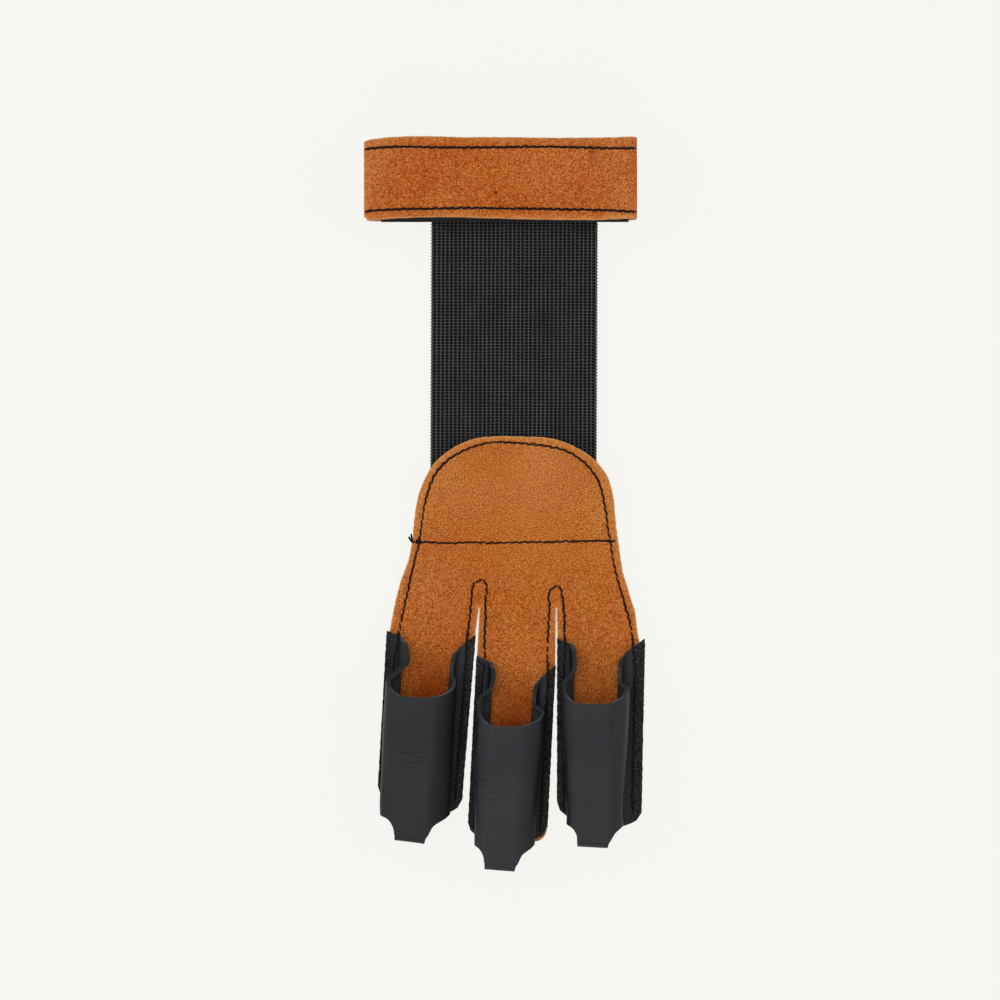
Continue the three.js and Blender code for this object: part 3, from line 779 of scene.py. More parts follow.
def arched_line(tree, points, resolution):
    """A curved line from its start, middle and end."""
    inputs = {"Resolution": resolution, "Start": points[0], "Middle": points[1], "End": points[2]}
    return add_node(tree, "GeometryNodeCurveQuadraticBezier", inputs).outputs[0]


def divided_line(tree, end, count):
    """A straight line from the origin with a number of points."""
    line = add_node(tree, "GeometryNodeCurvePrimitiveLine", {"Start": (0, 0, 0), "End": end}).outputs[0]
    return add_node(tree, "GeometryNodeResampleCurve", {"Curve": line, "Count": count}).outputs[0]


def side_by_side(tree, thread, tallness, count, first, step):
    """Copies of a thread one step apart, each made taller."""
    inputs = {"Geometry": thread, "Scale": (1.0, 1.0, tallness)}
    tall = add_node(tree, "GeometryNodeTransform", inputs).outputs[0]
    inputs = {"Count": count, "Start Location": first, "Offset": step}
    return copies(tree, add_node(tree, "GeometryNodeMeshLine", inputs, mode="OFFSET").outputs[0], tall)


def stitch_tree():
    """Stitches along a path: each one arches up between two needle holes and lies a little askew."""
    tree, given, result = new_tree("stitching", {
        "Stitch Length": STITCH_LENGTH * MM, "Thread Width": THREAD_WIDTH * MM, "Arch": 0.34 * MM,
        "Share Showing": 1.12, "Zigzag": 0.1, "Slant": 0.16, "Seed": 3, "Thread": black_thread,
    })
    spaced = add_node(tree, "GeometryNodeCurveToPoints",
                      {"Curve": given["Geometry"], "Length": given["Stitch Length"]}, mode="LENGTH")
    half = times(tree, times(tree, given["Stitch Length"], given["Share Showing"]), 0.5)
    back = times(tree, half, -1.0)
    sunk = times(tree, given["Arch"], -1.0)
    bend = [xyz(tree, back, 0.0, sunk), xyz(tree, 0.0, 0.0, given["Arch"]), xyz(tree, half, 0.0, sunk)]
    thread = tube(tree, arched_line(tree, bend, 6), given["Thread Width"], 7)
    heading = add_node(tree, "FunctionNodeAlignRotationToVector", {"Vector": spaced.outputs["Tangent"]},
                       axis="X", pivot_axis="Z").outputs[0]
    pitched = add_node(tree, "FunctionNodeAlignRotationToVector",
                       {"Rotation": heading, "Vector": spaced.outputs["Tangent"]}, axis="X", pivot_axis="Y")
    least = calculate(tree, "SUBTRACT", given["Slant"], given["Zigzag"])
    most = plus(tree, given["Slant"], given["Zigzag"])
    angles = [xyz(tree, 0.0, 0.0, least), xyz(tree, 0.0, 0.0, most)]
    turned = turned_a_little(tree, pitched.outputs[0], *angles, given["Seed"])
    placed = strewn(tree, spaced.outputs["Points"], thread, turned, 0.9, 1.06, given["Seed"])
    finish_tree(tree, result, placed, given["Thread"])
    return tree


def fibre_tree():
    """Loose fibres that stand out of the faces in one material."""
    tree, given, result = new_tree("loose_fibres", {
        "Density": 1.8e6, "Fibre Length": 0.42 * MM, "Fibre Width": 0.05 * MM, "Curl": 0.2 * MM,
        "Spread": 0.9, "Seed": 5, "Grows From": suede_edge, "Fibre": suede_edge,
    })
    chosen = add_node(tree, "GeometryNodeMaterialSelection", {0: given["Grows From"]}).outputs[0]
    roots = add_node(tree, "GeometryNodeDistributePointsOnFaces", {
        "Mesh": given["Geometry"], "Selection": chosen, "Density": given["Density"], "Seed": given["Seed"],
    })
    middle = times(tree, given["Fibre Length"], 0.5)
    end = xyz(tree, 0.0, given["Curl"], given["Fibre Length"])
    bend = [(0, 0, 0), xyz(tree, given["Curl"], 0.0, middle), end]
    fibre = tube(tree, arched_line(tree, bend, 2), given["Fibre Width"], 3)
    back = times(tree, given["Spread"], -1.0)
    angles = [xyz(tree, back, back, back), xyz(tree, given["Spread"], given["Spread"], 3.0)]
    turned = turned_a_little(tree, roots.outputs["Rotation"], *angles, given["Seed"])
    placed = strewn(tree, roots.outputs["Points"], fibre, turned, 0.35, 1.0, given["Seed"])
    finish_tree(tree, result, placed, given["Fibre"])
    return tree


def weave_tree():
    """Ribbed webbing, flat: cords along it, and thinner bars across it that show between the cords."""
    tree, given, result = new_tree("ribbed_weave", {
        "Width": WEBBING_WIDTH * MM, "Length": 100 * MM, "Rib Pitch": RIB_PITCH * MM,
        "Pick Pitch": PICK_PITCH * MM, "Rib Width": 0.5 * MM, "Bar Width": 0.34 * MM, "Slant": 0.12 * MM,
        "Yarn": webbing_yarn,
    })
    width, length = given["Width"], given["Length"]
    rib_pitch, pick_pitch = given["Rib Pitch"], given["Pick Pitch"]
    ribs = calculate(tree, "ROUND", calculate(tree, "DIVIDE", width, rib_pitch))
    picks = calculate(tree, "ROUND", calculate(tree, "DIVIDE", length, pick_pitch))
    number = add_node(tree, "GeometryNodeInputIndex").outputs[0]
    odd = calculate(tree, "MODULO", number, 2.0)
    rib_line = divided_line(tree, xyz(tree, 0.0, length, 0.0), plus(tree, times(tree, picks, 2.0), 1.0))
    swollen = plus(tree, CORD_NARROW, times(tree, odd, CORD_SWELL))
    rib_line = add_node(tree, "GeometryNodeSetCurveRadius", {"Curve": rib_line, "Radius": swollen}).outputs[0]
    rib = tube(tree, rib_line, given["Rib Width"], 6)
    first, step = xyz(tree, times(tree, rib_pitch, 0.5)), xyz(tree, rib_pitch)
    all_ribs = side_by_side(tree, rib, CORD_TALLNESS, ribs, first, step)
    bar_line = divided_line(tree, xyz(tree, width), plus(tree, ribs, 1.0))
    slant = times(tree, calculate(tree, "SUBTRACT", odd, 0.5), given["Slant"])
    inputs = {"Geometry": bar_line, "Offset": xyz(tree, y=slant)}
    bar_line = add_node(tree, "GeometryNodeSetPosition", inputs).outputs[0]
    bar = tube(tree, bar_line, given["Bar Width"], 5)
    first, step = xyz(tree, y=times(tree, pick_pitch, 0.5)), xyz(tree, y=pick_pitch)
    all_bars = side_by_side(tree, bar, BAR_TALLNESS, picks, first, step)
    joined = add_node(tree, "GeometryNodeJoinGeometry")
    tree.links.new(all_ribs, joined.inputs[0])
    tree.links.new(all_bars, joined.inputs[0])
    finish_tree(tree, result, joined.outputs[0], given["Yarn"])
    return tree


stitching = stitch_tree()
loose_fibres = fibre_tree()
ribbed_weave = weave_tree()


def sewn(name, lines, sizes):
    """One thread piece of stitches along several lines of points."""
    curve = bpy.data.curves.new(name, "CURVE")
    curve.dimensions = "3D"
    for line in lines:
        spline = curve.splines.new("POLY")
        spline.points.add(len(line) - 1)
        flat = np.concatenate([place(line), np.ones((len(line), 1))], axis=1)
        spline.points.foreach_set("co", flat.reshape(-1))
    return grown(name, stitching, curve, sizes)


def joined_mesh(name, meshes):
    """Several meshes as one."""
    working = [in_scene("working", mesh) for mesh in meshes]
    with bpy.context.temp_override(active_object=working[0], selected_editable_objects=working,
                                   selected_objects=working):
        bpy.ops.object.join()
    mesh = working[0].data
    mesh.name = name
    bpy.data.objects.remove(working[0])
    return mesh


# Finger measurements
def finger_top(finger):
    return -PALM_LENGTH - finger["top"] * FINGER_LENGTH


def flange_end(finger):
    return finger_top(finger) - finger["length"] * FINGER_LENGTH


def panel_tip(finger):
    return flange_end(finger) - TIP_PAST_FLANGE


def finger_sides(finger, y):
    """The left and right edges of a finger's suede back at a height on the page."""
    stops = [PALM_LENGTH, -finger_top(finger) + 2 * GAP, -flange_end(finger)]
    middle, half = [
        np.interp(-y, stops, [finger[key + kind] for key in ("root", "mouth", "tip")]) * FINGER_WIDTH
        for kind in ("", "_half")
    ]
    return middle - half, middle + half


def panel_underside(x, y, tip=-math.inf):
    """Height of the panel's underside: over the webbing's end, on the ground, and over the tucked tabs."""
    past_tail = ease(y, -WEBBING_TAIL - PANEL_STEP_LENGTH, -WEBBING_TAIL)
    beyond_edge = ease(np.abs(x), WEBBING_WIDTH / 2 + 2 * GAP, ARCH_HALF_WIDTH + GAP)
    tip_lift = (STALL_LEATHER + GAP) * (1 - ease(y - tip, TAB_TUCK, TIP_LIFT_LENGTH))
    return (WEBBING_THICK + GAP - EDGE_DROOP * beyond_edge) * past_tail + tip_lift


# Wrist strap
def strap_route(spacing):
    """The band's way round the wrist from the flap's free end to the inner end, as x and z points."""
    left_radius = (inner_height - back_height) / 2
    right_centre = strap_right - STRAP_SUEDE / 2 - STRAP_CORNER_RADIUS
    left_centre = strap_left + STRAP_FOLD_INSET + STRAP_SUEDE / 2 + left_radius
    middle = back_height + left_radius
    quarter = math.pi / 2

    def arc(centre_x, centre_z, radius, start, turn):
        steps = max(int(quarter * radius / spacing), 6)
        angles = start + np.linspace(0, quarter, steps, endpoint=False)
        x = centre_x + turn * np.sin(angles) * radius
        return np.stack([x, centre_z + turn * np.cos(angles) * radius], -1)

    def straight(start, end, height):
        steps = int(abs(end - start) / spacing)
        return np.stack([np.linspace(start, end, steps, endpoint=False), np.full(steps, height)], -1)

    return np.concatenate([
        straight(strap_left, right_centre, flap_height),
        arc(right_centre, flap_height - STRAP_CORNER_RADIUS, STRAP_CORNER_RADIUS, 0, 1),
        arc(right_centre, back_height + STRAP_CORNER_RADIUS, STRAP_CORNER_RADIUS, quarter, 1),
        straight(right_centre, left_centre, back_height),
        arc(left_centre, middle, left_radius, 0, -1),
        arc(left_centre, middle, left_radius, quarter, -1),
        straight(left_centre, strap_right - TAPE_END_INSET, inner_height),
        [[strap_right - TAPE_END_INSET, inner_height]],
    ])


def strap_lines(route, top, bottom):
    """Two lines along the route, such as the band's edges, from two columns of the table."""
    reach = run_length(route)
    along = reach / STRAP_LENGTH
    shift = -STRAP_SKEW * reach / reach[-1]
    upper = WEBBING_SPAN + STRAP_WIDTH + shift + read(strap_edges, "along", along, top)
    lower = WEBBING_SPAN + shift + read(strap_edges, "along", along, bottom)
    return upper, lower


def wrist_strap():
    route = strap_route(0.7)
    top, bottom = strap_lines(route, "top", "bottom")
    top_row, bottom_row = strap_lines(route, "top_row", "bottom_row")
    ends = np.stack([route[:, 0], top, route[:, 1]], -1)
    top = top + STRAP_RAGGED * roughness_at(ends, size=2.2, seed=1)
    bottom = bottom + STRAP_RAGGED * roughness_at(ends, size=2.2, seed=2)
    columns = 36
    across = np.linspace(0, 1, columns + 1)
    y = mix(top[:, None], bottom[:, None], across)
    x = np.repeat(route[:, :1], columns + 1, axis=1)
    z = np.repeat(route[:, 1:], columns + 1, axis=1)
    middle = np.stack([x, y, z], -1)
    from_stitch = np.minimum(np.abs(top_row[:, None] - y), np.abs(y - bottom_row[:, None]))
    groove = -STRAP_GROOVE * fade(from_stitch, STRAP_GROOVE_WIDTH)
    swell = 0.08 * roughness_at(middle, size=9, seed=3)
    on_flap = z > hook_tape_height
    # Paler toward both ends: a painted highlight where the band folds round, with random paler patches
    fold_light_and_patches = 0.3 * ease(x, 20, 34) + 0.3 * ease(-x, 34, 44) + 0.4 * roughness_at(middle, size=18, seed=20)
    rim = 0.9 * ease(x, -12, 4) * (1 - ease(y - bottom[:, None], 0.4, 1.1))
    pale = on_flap * np.clip(fold_light_and_patches + rim, 0, 1)
    mesh = wall("wrist_strap", middle, STRAP_SUEDE, [strap_suede, suede_edge],
                under_relief=groove + swell, marks={"pale": pale})
    piece = add_piece("wrist_strap_suede", mesh)
    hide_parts("wrist_strap")
    return piece


def strap_stitches():
    """The two sewn rows along the band, on its outer side."""
    route = strap_route(0.4)
    top_row, bottom_row = strap_lines(route, "top_row", "bottom_row")
    heading = np.gradient(route, axis=0)
    heading /= np.linalg.norm(heading, axis=1, keepdims=True)
    outward = np.stack([-heading[:, 1], heading[:, 0]], -1)
    sunk = 0.02 + 0.4 * np.abs(outward[:, :1])
    skin = route + outward * (STRAP_SUEDE / 2 - sunk)
    reach = run_length(route)
    wobble = np.stack([reach, reach * 0, reach * 0], -1)
    under = heading[:, 0] < 0
    turns = np.flatnonzero(np.diff(under)) + 1
    height = np.where(under, np.maximum(skin[:, 1], UNDERSIDE_THREAD), skin[:, 1])
    lines = {False: [], True: []}
    for y, seed in ((top_row, 4), (bottom_row, 5)):
        strayed = y + 0.1 * roughness_at(wobble, size=4, seed=seed)
        line = np.stack([skin[:, 0], strayed, height], -1)[4:-4]
        for run, turned_over in zip(np.split(line, turns - 4), np.split(under[4:-4], turns - 4)):
            lines[bool(turned_over[0])].append(run)
    over_mesh = sewn("strap_stitches", lines[False], {"Seed": 11, "Thread Width": 0.76 * MM, "Slant": 0.15})
    under_mesh = sewn("strap_stitches_under", lines[True], {"Seed": 12, "Arch": -0.16 * MM})
    add_piece("strap_stitches", joined_mesh("strap_stitches", [over_mesh, under_mesh]))


# Hook and loop tape
def tape(name, height, shift, trim, node):
    right = strap_right - TAPE_END_INSET
    x = np.linspace(right - TAPE_LENGTH, right, 76)
    y = WEBBING_SPAN + shift + np.linspace(STRAP_WIDTH - trim, 0, 26)
    grid = np.stack([*np.meshgrid(x, y), np.full((len(y), len(x)), height)], -1)
    at_edge = np.abs(grid[..., 1] - y.mean()) > 12
    grid[..., 1] += TAPE_RAGGED * roughness_at(grid, size=1.6, seed=6) * at_edge
    mesh = wall(name, grid, TAPE_THICK, [tape_black, tape_black])
    piece = add_piece(name + "_weave", mesh)
    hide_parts(node)


# Webbing
webbing_top = WEBBING_SPAN + STRAP_WIDTH - WEBBING_TOP_INSET - STRAP_SKEW
webbing_length = webbing_top + WEBBING_TAIL


def lay_webbing(flat):
    """Takes points on the flat webbing, down from its top end, to where it lies."""
    across, down, height = flat[..., 0], flat[..., 1], flat[..., 2]
    y = webbing_top - down
    strap_edge = WEBBING_SPAN - STRAP_SKEW - 2 * GAP
    lift = (STRAP_SUEDE + GAP) * ease(y, strap_edge - WEBBING_DROP, strap_edge)
    drift = -WEBBING_DRIFT * (1 - y / WEBBING_SPAN)
    return np.stack([drift + across - WEBBING_WIDTH / 2, y, WEBBING_THICK / 2 + lift + height], -1)


def webbing():
    core_width = WEBBING_WIDTH - 0.5
    across = np.linspace(0.25, 0.25 + core_width, 26)
    down = np.linspace(0.2, webbing_length - 0.2, 120)
    grid = np.stack([*np.meshgrid(across, down), np.zeros((len(down), len(across)))], -1)
    core = wall("webbing_core", lay_webbing(grid), WEBBING_CORE_THICK, [webbing_core, webbing_core])
    empty = bpy.data.meshes.new("webbing_weave")
    cords = grown("webbing_weave", ribbed_weave, empty, {"Length": webbing_length * MM})
    flat = np.empty(len(cords.vertices) * 3, np.float32)
    cords.vertices.foreach_get("co", flat)
    points = flat.reshape(-1, 3).astype(float) / MM
    reach = WEBBING_THICK / 2
    points[:, 2] = np.clip(points[:, 2], -reach, reach)
    wander = np.stack([points[:, 0], points[:, 1] * 0.3, points[:, 1] * 0], -1)
    points[:, 0] += 0.1 * roughness_at(wander, size=4, seed=7)
    points[:, 1] += 0.12 * roughness_at(points * [0.3, 1, 0], size=3, seed=8)
    cords.vertices.foreach_set("co", place(lay_webbing(points)).astype(np.float32).reshape(-1))
    cords.update()
    weave = add_piece("webbing_weave", cords)
    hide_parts("webbing")
    add_piece("webbing_core", core)


# Hand panel
FINGER_CELLS = 44
FINGER_STRIDE = FINGER_CELLS + 1
PANEL_COLUMNS = 3 * FINGER_STRIDE - 1
OUTER_TRIM = 0.9
# Corner radii at the right of each finger's tip, from left to right
tip_corners = [6.5, 4.0, 4.0]
ARCH_ROWS = 58
PALM_ROWS = 40
FINGER_ROWS = 120


def root_edges():
    """Where each grid column crosses the line at the root of the slits."""
    x = []
    for column in range(PANEL_COLUMNS + 1):
        left, right = finger_sides(fingers[min(column // FINGER_STRIDE, 2)], -PALM_LENGTH)
        x.append(float(mix(left, right, (column % FINGER_STRIDE) / FINGER_CELLS)))
    return np.array(x)


def panel_grid():
    roots = root_edges()
    share = (roots - roots[0]) / (roots[-1] - roots[0])
    reach = run_length(panel_arch)
    arch = smooth_read(reach, panel_arch, share * reach[-1])
    rows = []
    for down in np.linspace(0, 1, ARCH_ROWS + 1):
        y = mix(arch[:, 1], 0, down)
        left, right = read(palm_edges, "y", 0, "left"), read(palm_edges, "y", 0, "right")
        side_left = read(palm_edges, "y", np.clip(y[0], 0, 10.5), "left")
        side_right = read(palm_edges, "y", np.clip(y[-1], 0, 10.5), "right")
        x = mix(arch[:, 0], mix(left, right, share), down)
        pull_left = (side_left - x[0]) * (1 - share) ** 6
        pull_right = (side_right - x[-1]) * share ** 6
        rows.append(np.stack([x + pull_left + pull_right, y], -1))
    for down in np.linspace(0, 1, PALM_ROWS + 1)[1:]:
        y = -down * PALM_LENGTH
        left, right = read(palm_edges, "y", y, "left"), read(palm_edges, "y", y, "right")
        rows.append(np.stack([mix(left, right, share), np.full(len(share), y)], -1))
    tips = np.array([panel_tip(fingers[min(c // FINGER_STRIDE, 2)]) for c in range(PANEL_COLUMNS + 1)])
    for down in np.linspace(0, 1, FINGER_ROWS + 1)[1:]:
        y = mix(-PALM_LENGTH, tips, 1 - (1 - down) ** 1.25)
        x = np.empty(PANEL_COLUMNS + 1)
        for index, finger in enumerate(fingers):
            columns = np.arange(FINGER_CELLS + 1) + index * FINGER_STRIDE
            left, right = finger_sides(finger, y[columns])
            if index == 2:
                right = right - OUTER_TRIM * ease(-y[columns], PALM_LENGTH, -finger_top(finger))
            across = np.arange(FINGER_CELLS + 1) / FINGER_CELLS
            above_tip = y[columns] - panel_tip(finger)
            x[columns] = mix(left + round_corner(above_tip, TIP_RADIUS),
                             right - round_corner(above_tip, tip_corners[index]), across)
        rows.append(np.stack([x, y], -1))
    return np.array(rows), tips


def round_corner(above, radius):
    """How far a rounded corner has come in, at a distance above its end."""
    below = radius - np.minimum(above, radius)
    return radius - np.sqrt(np.maximum(radius ** 2 - below ** 2, 0))


def stitch_lines():
    """Every sewn line of the panel, continued down the stalls' flanges, as points on the page."""
    def leg(finger, side, start, first_inset):
        y = np.linspace(start, flange_end(finger) + 1.5, 40)
        edge = finger_sides(finger, y)[side]
        inset = mix(first_inset, FLANGE_INSET, ease(start - y, 0, 11))
        return np.stack([edge + (1 - 2 * side) * inset, y], -1)

    def joined(first, corners, last):
        return np.concatenate([leg(*first)[::-1], smooth_line(corners), leg(*last)])

    left, middle, right = fingers
    return [
        joined((left, 0, -27, OUTER_INSET), perimeter_line, (right, 1, -30, OUTER_INSET)),
        joined((left, 1, -30, SLIT_INSET), left_slit_line, (middle, 0, -34, SLIT_INSET)),
        joined((middle, 1, -33, SLIT_INSET), right_slit_line, (right, 0, -30, SLIT_INSET)),
        smooth_line(cross_line),
    ]


def nearest_finger(x):
    middles = np.array([finger["mouth"] * FINGER_WIDTH for finger in fingers])
    return np.argmin(np.abs(np.asarray(x)[..., None] - middles), axis=-1)


def panel_shades(x, y, outline):
    """How pale and how red the panel's suede is: redder and darker inside the stalls, partly its own tone and
    partly painted shade under the tubes, paler toward the arch.
    """
    red_and_shade = np.zeros(x.shape)
    # Painted shade under each tube, round the stall's mouth
    for finger in fingers:
        mouth = (finger["mouth"] * FINGER_WIDTH, finger_top(finger) - MOUTH_DEPTH)
        away = np.hypot((x - mouth[0]) / 12, (y - mouth[1] + 3) / 21)
        red_and_shade = np.maximum(red_and_shade, finger["red_and_shade"] * (1 - ease(away, 0.1, 1.1)))
    red_and_shade = red_and_shade + 0.12 * ease(-y, 4, 14) + 0.15 * roughness_at(outline, size=16, seed=24)
    cloudy = 0.4 * roughness_at(outline, size=17, seed=25) * (1 - ease(-y, 18, 32))
    pale = 0.25 * ease(y, -2, 12) + cloudy
    return {"pale": np.clip(pale, 0, 1), "red_and_shade": np.clip(red_and_shade, 0, 1)}


def hand_panel():
    flat, tips = panel_grid()
    x, y = flat[..., 0], flat[..., 1]
    on_fingers = np.arange(len(flat))[:, None] > ARCH_ROWS + PALM_ROWS
    outline = np.stack([x, y, y * 0], -1)
    ragged = PANEL_RAGGED * roughness_at(outline, size=1.5, seed=9)
    toward_edge = np.zeros(x.shape)
    toward_edge[:ARCH_ROWS + PALM_ROWS + 1, [0, -1]] = 1
    x = x + ragged * toward_edge
    y = y.copy()
    y[0] += ragged[0]
    z = panel_underside(x, y, np.where(on_fingers, tips, -math.inf)) + PANEL_SUEDE / 2
    middle = np.stack([x, y, z], -1)
    present = np.ones((len(flat) - 1, PANEL_COLUMNS), bool)
    for slit in (FINGER_CELLS, FINGER_STRIDE + FINGER_CELLS):
        present[ARCH_ROWS + PALM_ROWS:, slit] = False
    sewn_points = np.pad(np.concatenate(stitch_lines()), ((0, 0), (0, 1)))
    on_page = np.stack([x, y, y * 0], -1).reshape(-1, 3)
    from_stitch = nearest_distance(sewn_points, on_page).reshape(x.shape)
    groove = -PANEL_GROOVE * fade(from_stitch, PANEL_GROOVE_WIDTH)
    swell = 0.1 * roughness_at(outline, size=14, seed=10) + 0.04 * roughness_at(outline, size=3, seed=11)
    mesh = wall("hand_panel", middle, PANEL_SUEDE, [panel_suede, suede_edge], present,
                relief=groove + swell, marks=panel_shades(x, y, outline))
    piece = add_piece("hand_panel_suede", mesh)
    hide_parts("hand_panel")
    return piece


def panel_stitches():
    lines = []
    for flat in [*stitch_lines(), *knot_lines]:
        flat = smooth_line(flat)
        wobble = np.stack([flat[:, 0], flat[:, 1], flat[:, 0] * 0], -1)
        stray = [roughness_at(wobble, size=4, seed=seed) for seed in (12, 13)]
        flat = flat + 0.09 * np.stack(stray, -1)
        nearest = nearest_finger(flat[:, 0])
        tips = np.array([panel_tip(fingers[i]) for i in nearest])
        tops = np.array([finger_top(fingers[i]) for i in nearest])
        height = panel_underside(flat[:, 0], flat[:, 1], np.where(flat[:, 1] < -PALM_LENGTH, tips, -math.inf))
        height = height + PANEL_SUEDE - 0.12
        on_flange = ease(-flat[:, 1], -tops - 0.6, -tops + 0.6)
        lines.append(np.stack([flat[:, 0], flat[:, 1], height + on_flange * (GAP + STALL_LEATHER)], -1))
    rows = len(lines) - len(knot_lines)
    ends = [smooth_line(line, 0.25) for line in loose_ends]
    row_sizes = {"Seed": 21, "Thread Width": 0.64 * MM}
    knot_sizes = {"Stitch Length": 1.2 * MM, "Zigzag": 0.3, "Seed": 22}
    end_sizes = {
        "Stitch Length": 0.5 * MM, "Thread Width": 0.6 * MM, "Arch": 0.0, "Share Showing": 1.3,
        "Zigzag": 0.25, "Slant": 0.0, "Seed": 23,
    }
    for name, threads, sizes in (
        ("panel_stitches", lines[:rows], row_sizes),
        ("seam_knots", lines[rows:], knot_sizes),
        ("thread_ends", ends, end_sizes),
    ):
        add_piece(name, sewn(name, threads, sizes))


# Finger stalls
SIDE_STEPS = 4
STALL_COLUMNS = 2 * CROWN_COLUMN * SIDE_STEPS
TUBE_ROWS = 84
BEND_STEPS = 6
FLANGE_COLUMNS = 1.6
FLANGE_ROUNDING = 4.5
# Each side's scallop is a blend of two round curves: a power and its share
scallop_curves = [[(2.6, 0.8), (1.2, 0.2)], [(2.6, 0.1), (1.2, 0.9)]]
TUCK_STEPS = 8
# The crown's creases, by how far up they lie from a stall's main one, in millimetres
creases = [
    dict(up=0, depth=0.16),
    dict(up=-2.1, depth=0.08),
    dict(up=2.6, depth=0.1),
    dict(up=5.2, depth=0.05),
]


def tab_bend(finger):
    """Where the tab turns down, below the scallops."""
    return flange_end(finger) - CORNER_REACH - finger["scallop"] * FINGER_LENGTH


def ear_top(finger, side):
    return finger_top(finger) + stall_sides[finger["name"]][side]["ear"]


def mouth_share(finger, side, y):
    """How far down the mouth a height on the page is, from 0 at the ear's top to 1 at the crown's edge."""
    crown_edge = finger_top(finger) - MOUTH_DEPTH
    return (ear_top(finger, side) - y) / (ear_top(finger, side) - crown_edge)


def section_stations(finger, y, side):
    """The stations of a stall's section at each y, on side 0, the left, or 1, as x, y and z."""
    sizes = stall_sides[finger["name"]][side]
    outward = 2 * side - 1
    left, right = finger_sides(finger, y)
    form = 2 * ease(mouth_share(finger, side, y), sizes["turn"], sizes["full"]) - 1
    narrowing = ease(finger_top(finger) - y, MOUTH_DEPTH, finger["length"] * FINGER_LENGTH)
    edge = right if side else left
    foot = sizes["foot"] * FINGER_WIDTH
    flange = foot + sizes["overhang"]
    belly = mix(sizes["belly"], sizes["tip_belly"], narrowing)
    swell = FINGER_WIDTH * form * np.where(form > 0, belly, sizes["lobe"])
    height = TUBE_HEIGHT * mix(1, TIP_HEIGHT_SHARE, narrowing) - STALL_LEATHER / 2 - FOOT_RADIUS
    lean = mix(finger["lean"], finger["tip_lean"], narrowing) * np.maximum(form, 0)
    feet = [half["foot"] for half in stall_sides[finger["name"]]]
    middle = (left + right) / 2 + (feet[0] - feet[1]) * FINGER_WIDTH / 2
    ground = panel_underside(middle, y, panel_tip(finger)) + PANEL_SUEDE + GAP + STALL_LEATHER / 2
    stations = []
    for given in half_section:
        row = {key: given.get(key, 0) for key in section_shares}
        out = row["swell"] * swell + row["round"] * FOOT_RADIUS + row["out"] * flange
        side_wall = edge + outward * (out - foot)
        x = mix(mix(side_wall, middle + outward * TAB_WIDTH / 2, row["to_tab"]), middle, row["to_middle"])
        rise = row["lift"] * FOOT_RADIUS + row["rise"] * height
        stations.append(np.stack([x + lean * rise, y, ground + rise], -1))
    return np.array(stations)


def through_stations(stations, station):
    """The place of a station number on the smooth curve through the stations."""
    last = len(stations) - 1
    low = min(int(station), last - 1)
    share = station - low
    second, third = stations[low], stations[low + 1]
    first = stations[low - 1] if low > 0 else 2 * second - third
    fourth = stations[low + 2] if low + 2 <= last else 2 * third - second
    spans = [np.maximum(np.sum((b - a) ** 2, axis=-1, keepdims=True) ** 0.25, 1e-6)
             for a, b in ((first, second), (second, third), (third, fourth))]
    start = spans[1] * ((second - first) / spans[0] - (third - first) / (spans[0] + spans[1])
                        + (third - second) / spans[1])
    end = spans[1] * ((third - second) / spans[1] - (fourth - second) / (spans[1] + spans[2])
                      + (fourth - third) / spans[2])
    bend = -3 * second + 3 * third - 2 * start - end
    return second + start * share + bend * share ** 2 + (2 * second - 2 * third + start + end) * share ** 3


def column_span(finger, column, side):
    """Where a column of the tube starts at the mouth and stops at the tip."""
    station = float(np.interp(column, range(len(section_stops)), section_stops))
    top = ear_top(finger, side)
    share = float(read(mouth_edge, "station", station, "right" if side else "left"))
    start = mix(top, finger_top(finger) - MOUTH_DEPTH, share)
    corner = flange_end(finger) - CORNER_REACH
    if column < CORNER_COLUMN:
        across = min(column / FLANGE_COLUMNS, 1)
        near_edge = 1 - float(ease(column, FLANGE_COLUMNS, CORNER_COLUMN))
        short = stall_sides[finger["name"]][side]["short"] * near_edge
        rounding = FLANGE_ROUNDING * (1 - math.sqrt(1 - (1 - across) ** 2))
        return station, start, corner + short + rounding
    inward = min((column - CORNER_COLUMN) / (TAB_COLUMN - CORNER_COLUMN), 1)
    round_off = sum(share * (1 - inward ** power) ** (1 / power) for power, share in scallop_curves[side])
    return station, start, mix(tab_bend(finger), corner, round_off)


def tab_route(finger, top):
    """The tab's way past the tube, as y and z: round the finger tip, down, and back under the panel."""
    bend = tab_bend(finger)
    bottom = STALL_LEATHER / 2
    quarter = math.pi / 2
    turn = quarter * np.arange(1, BEND_STEPS + 1) / BEND_STEPS
    back = quarter * np.arange(0, BEND_STEPS + 1) / BEND_STEPS
    over = np.stack([bend - np.sin(turn) * NOSE_RADIUS, top - (1 - np.cos(turn)) * NOSE_RADIUS], -1)
    under = np.stack([bend - np.cos(back) * NOSE_RADIUS, bottom + (1 - np.sin(back)) * NOSE_RADIUS], -1)
    tucked = np.linspace(bend, panel_tip(finger) + TAB_TUCK - GAP, TUCK_STEPS + 1)[1:]
    return np.concatenate([over, under, np.stack([tucked, np.full(TUCK_STEPS, bottom)], -1)])


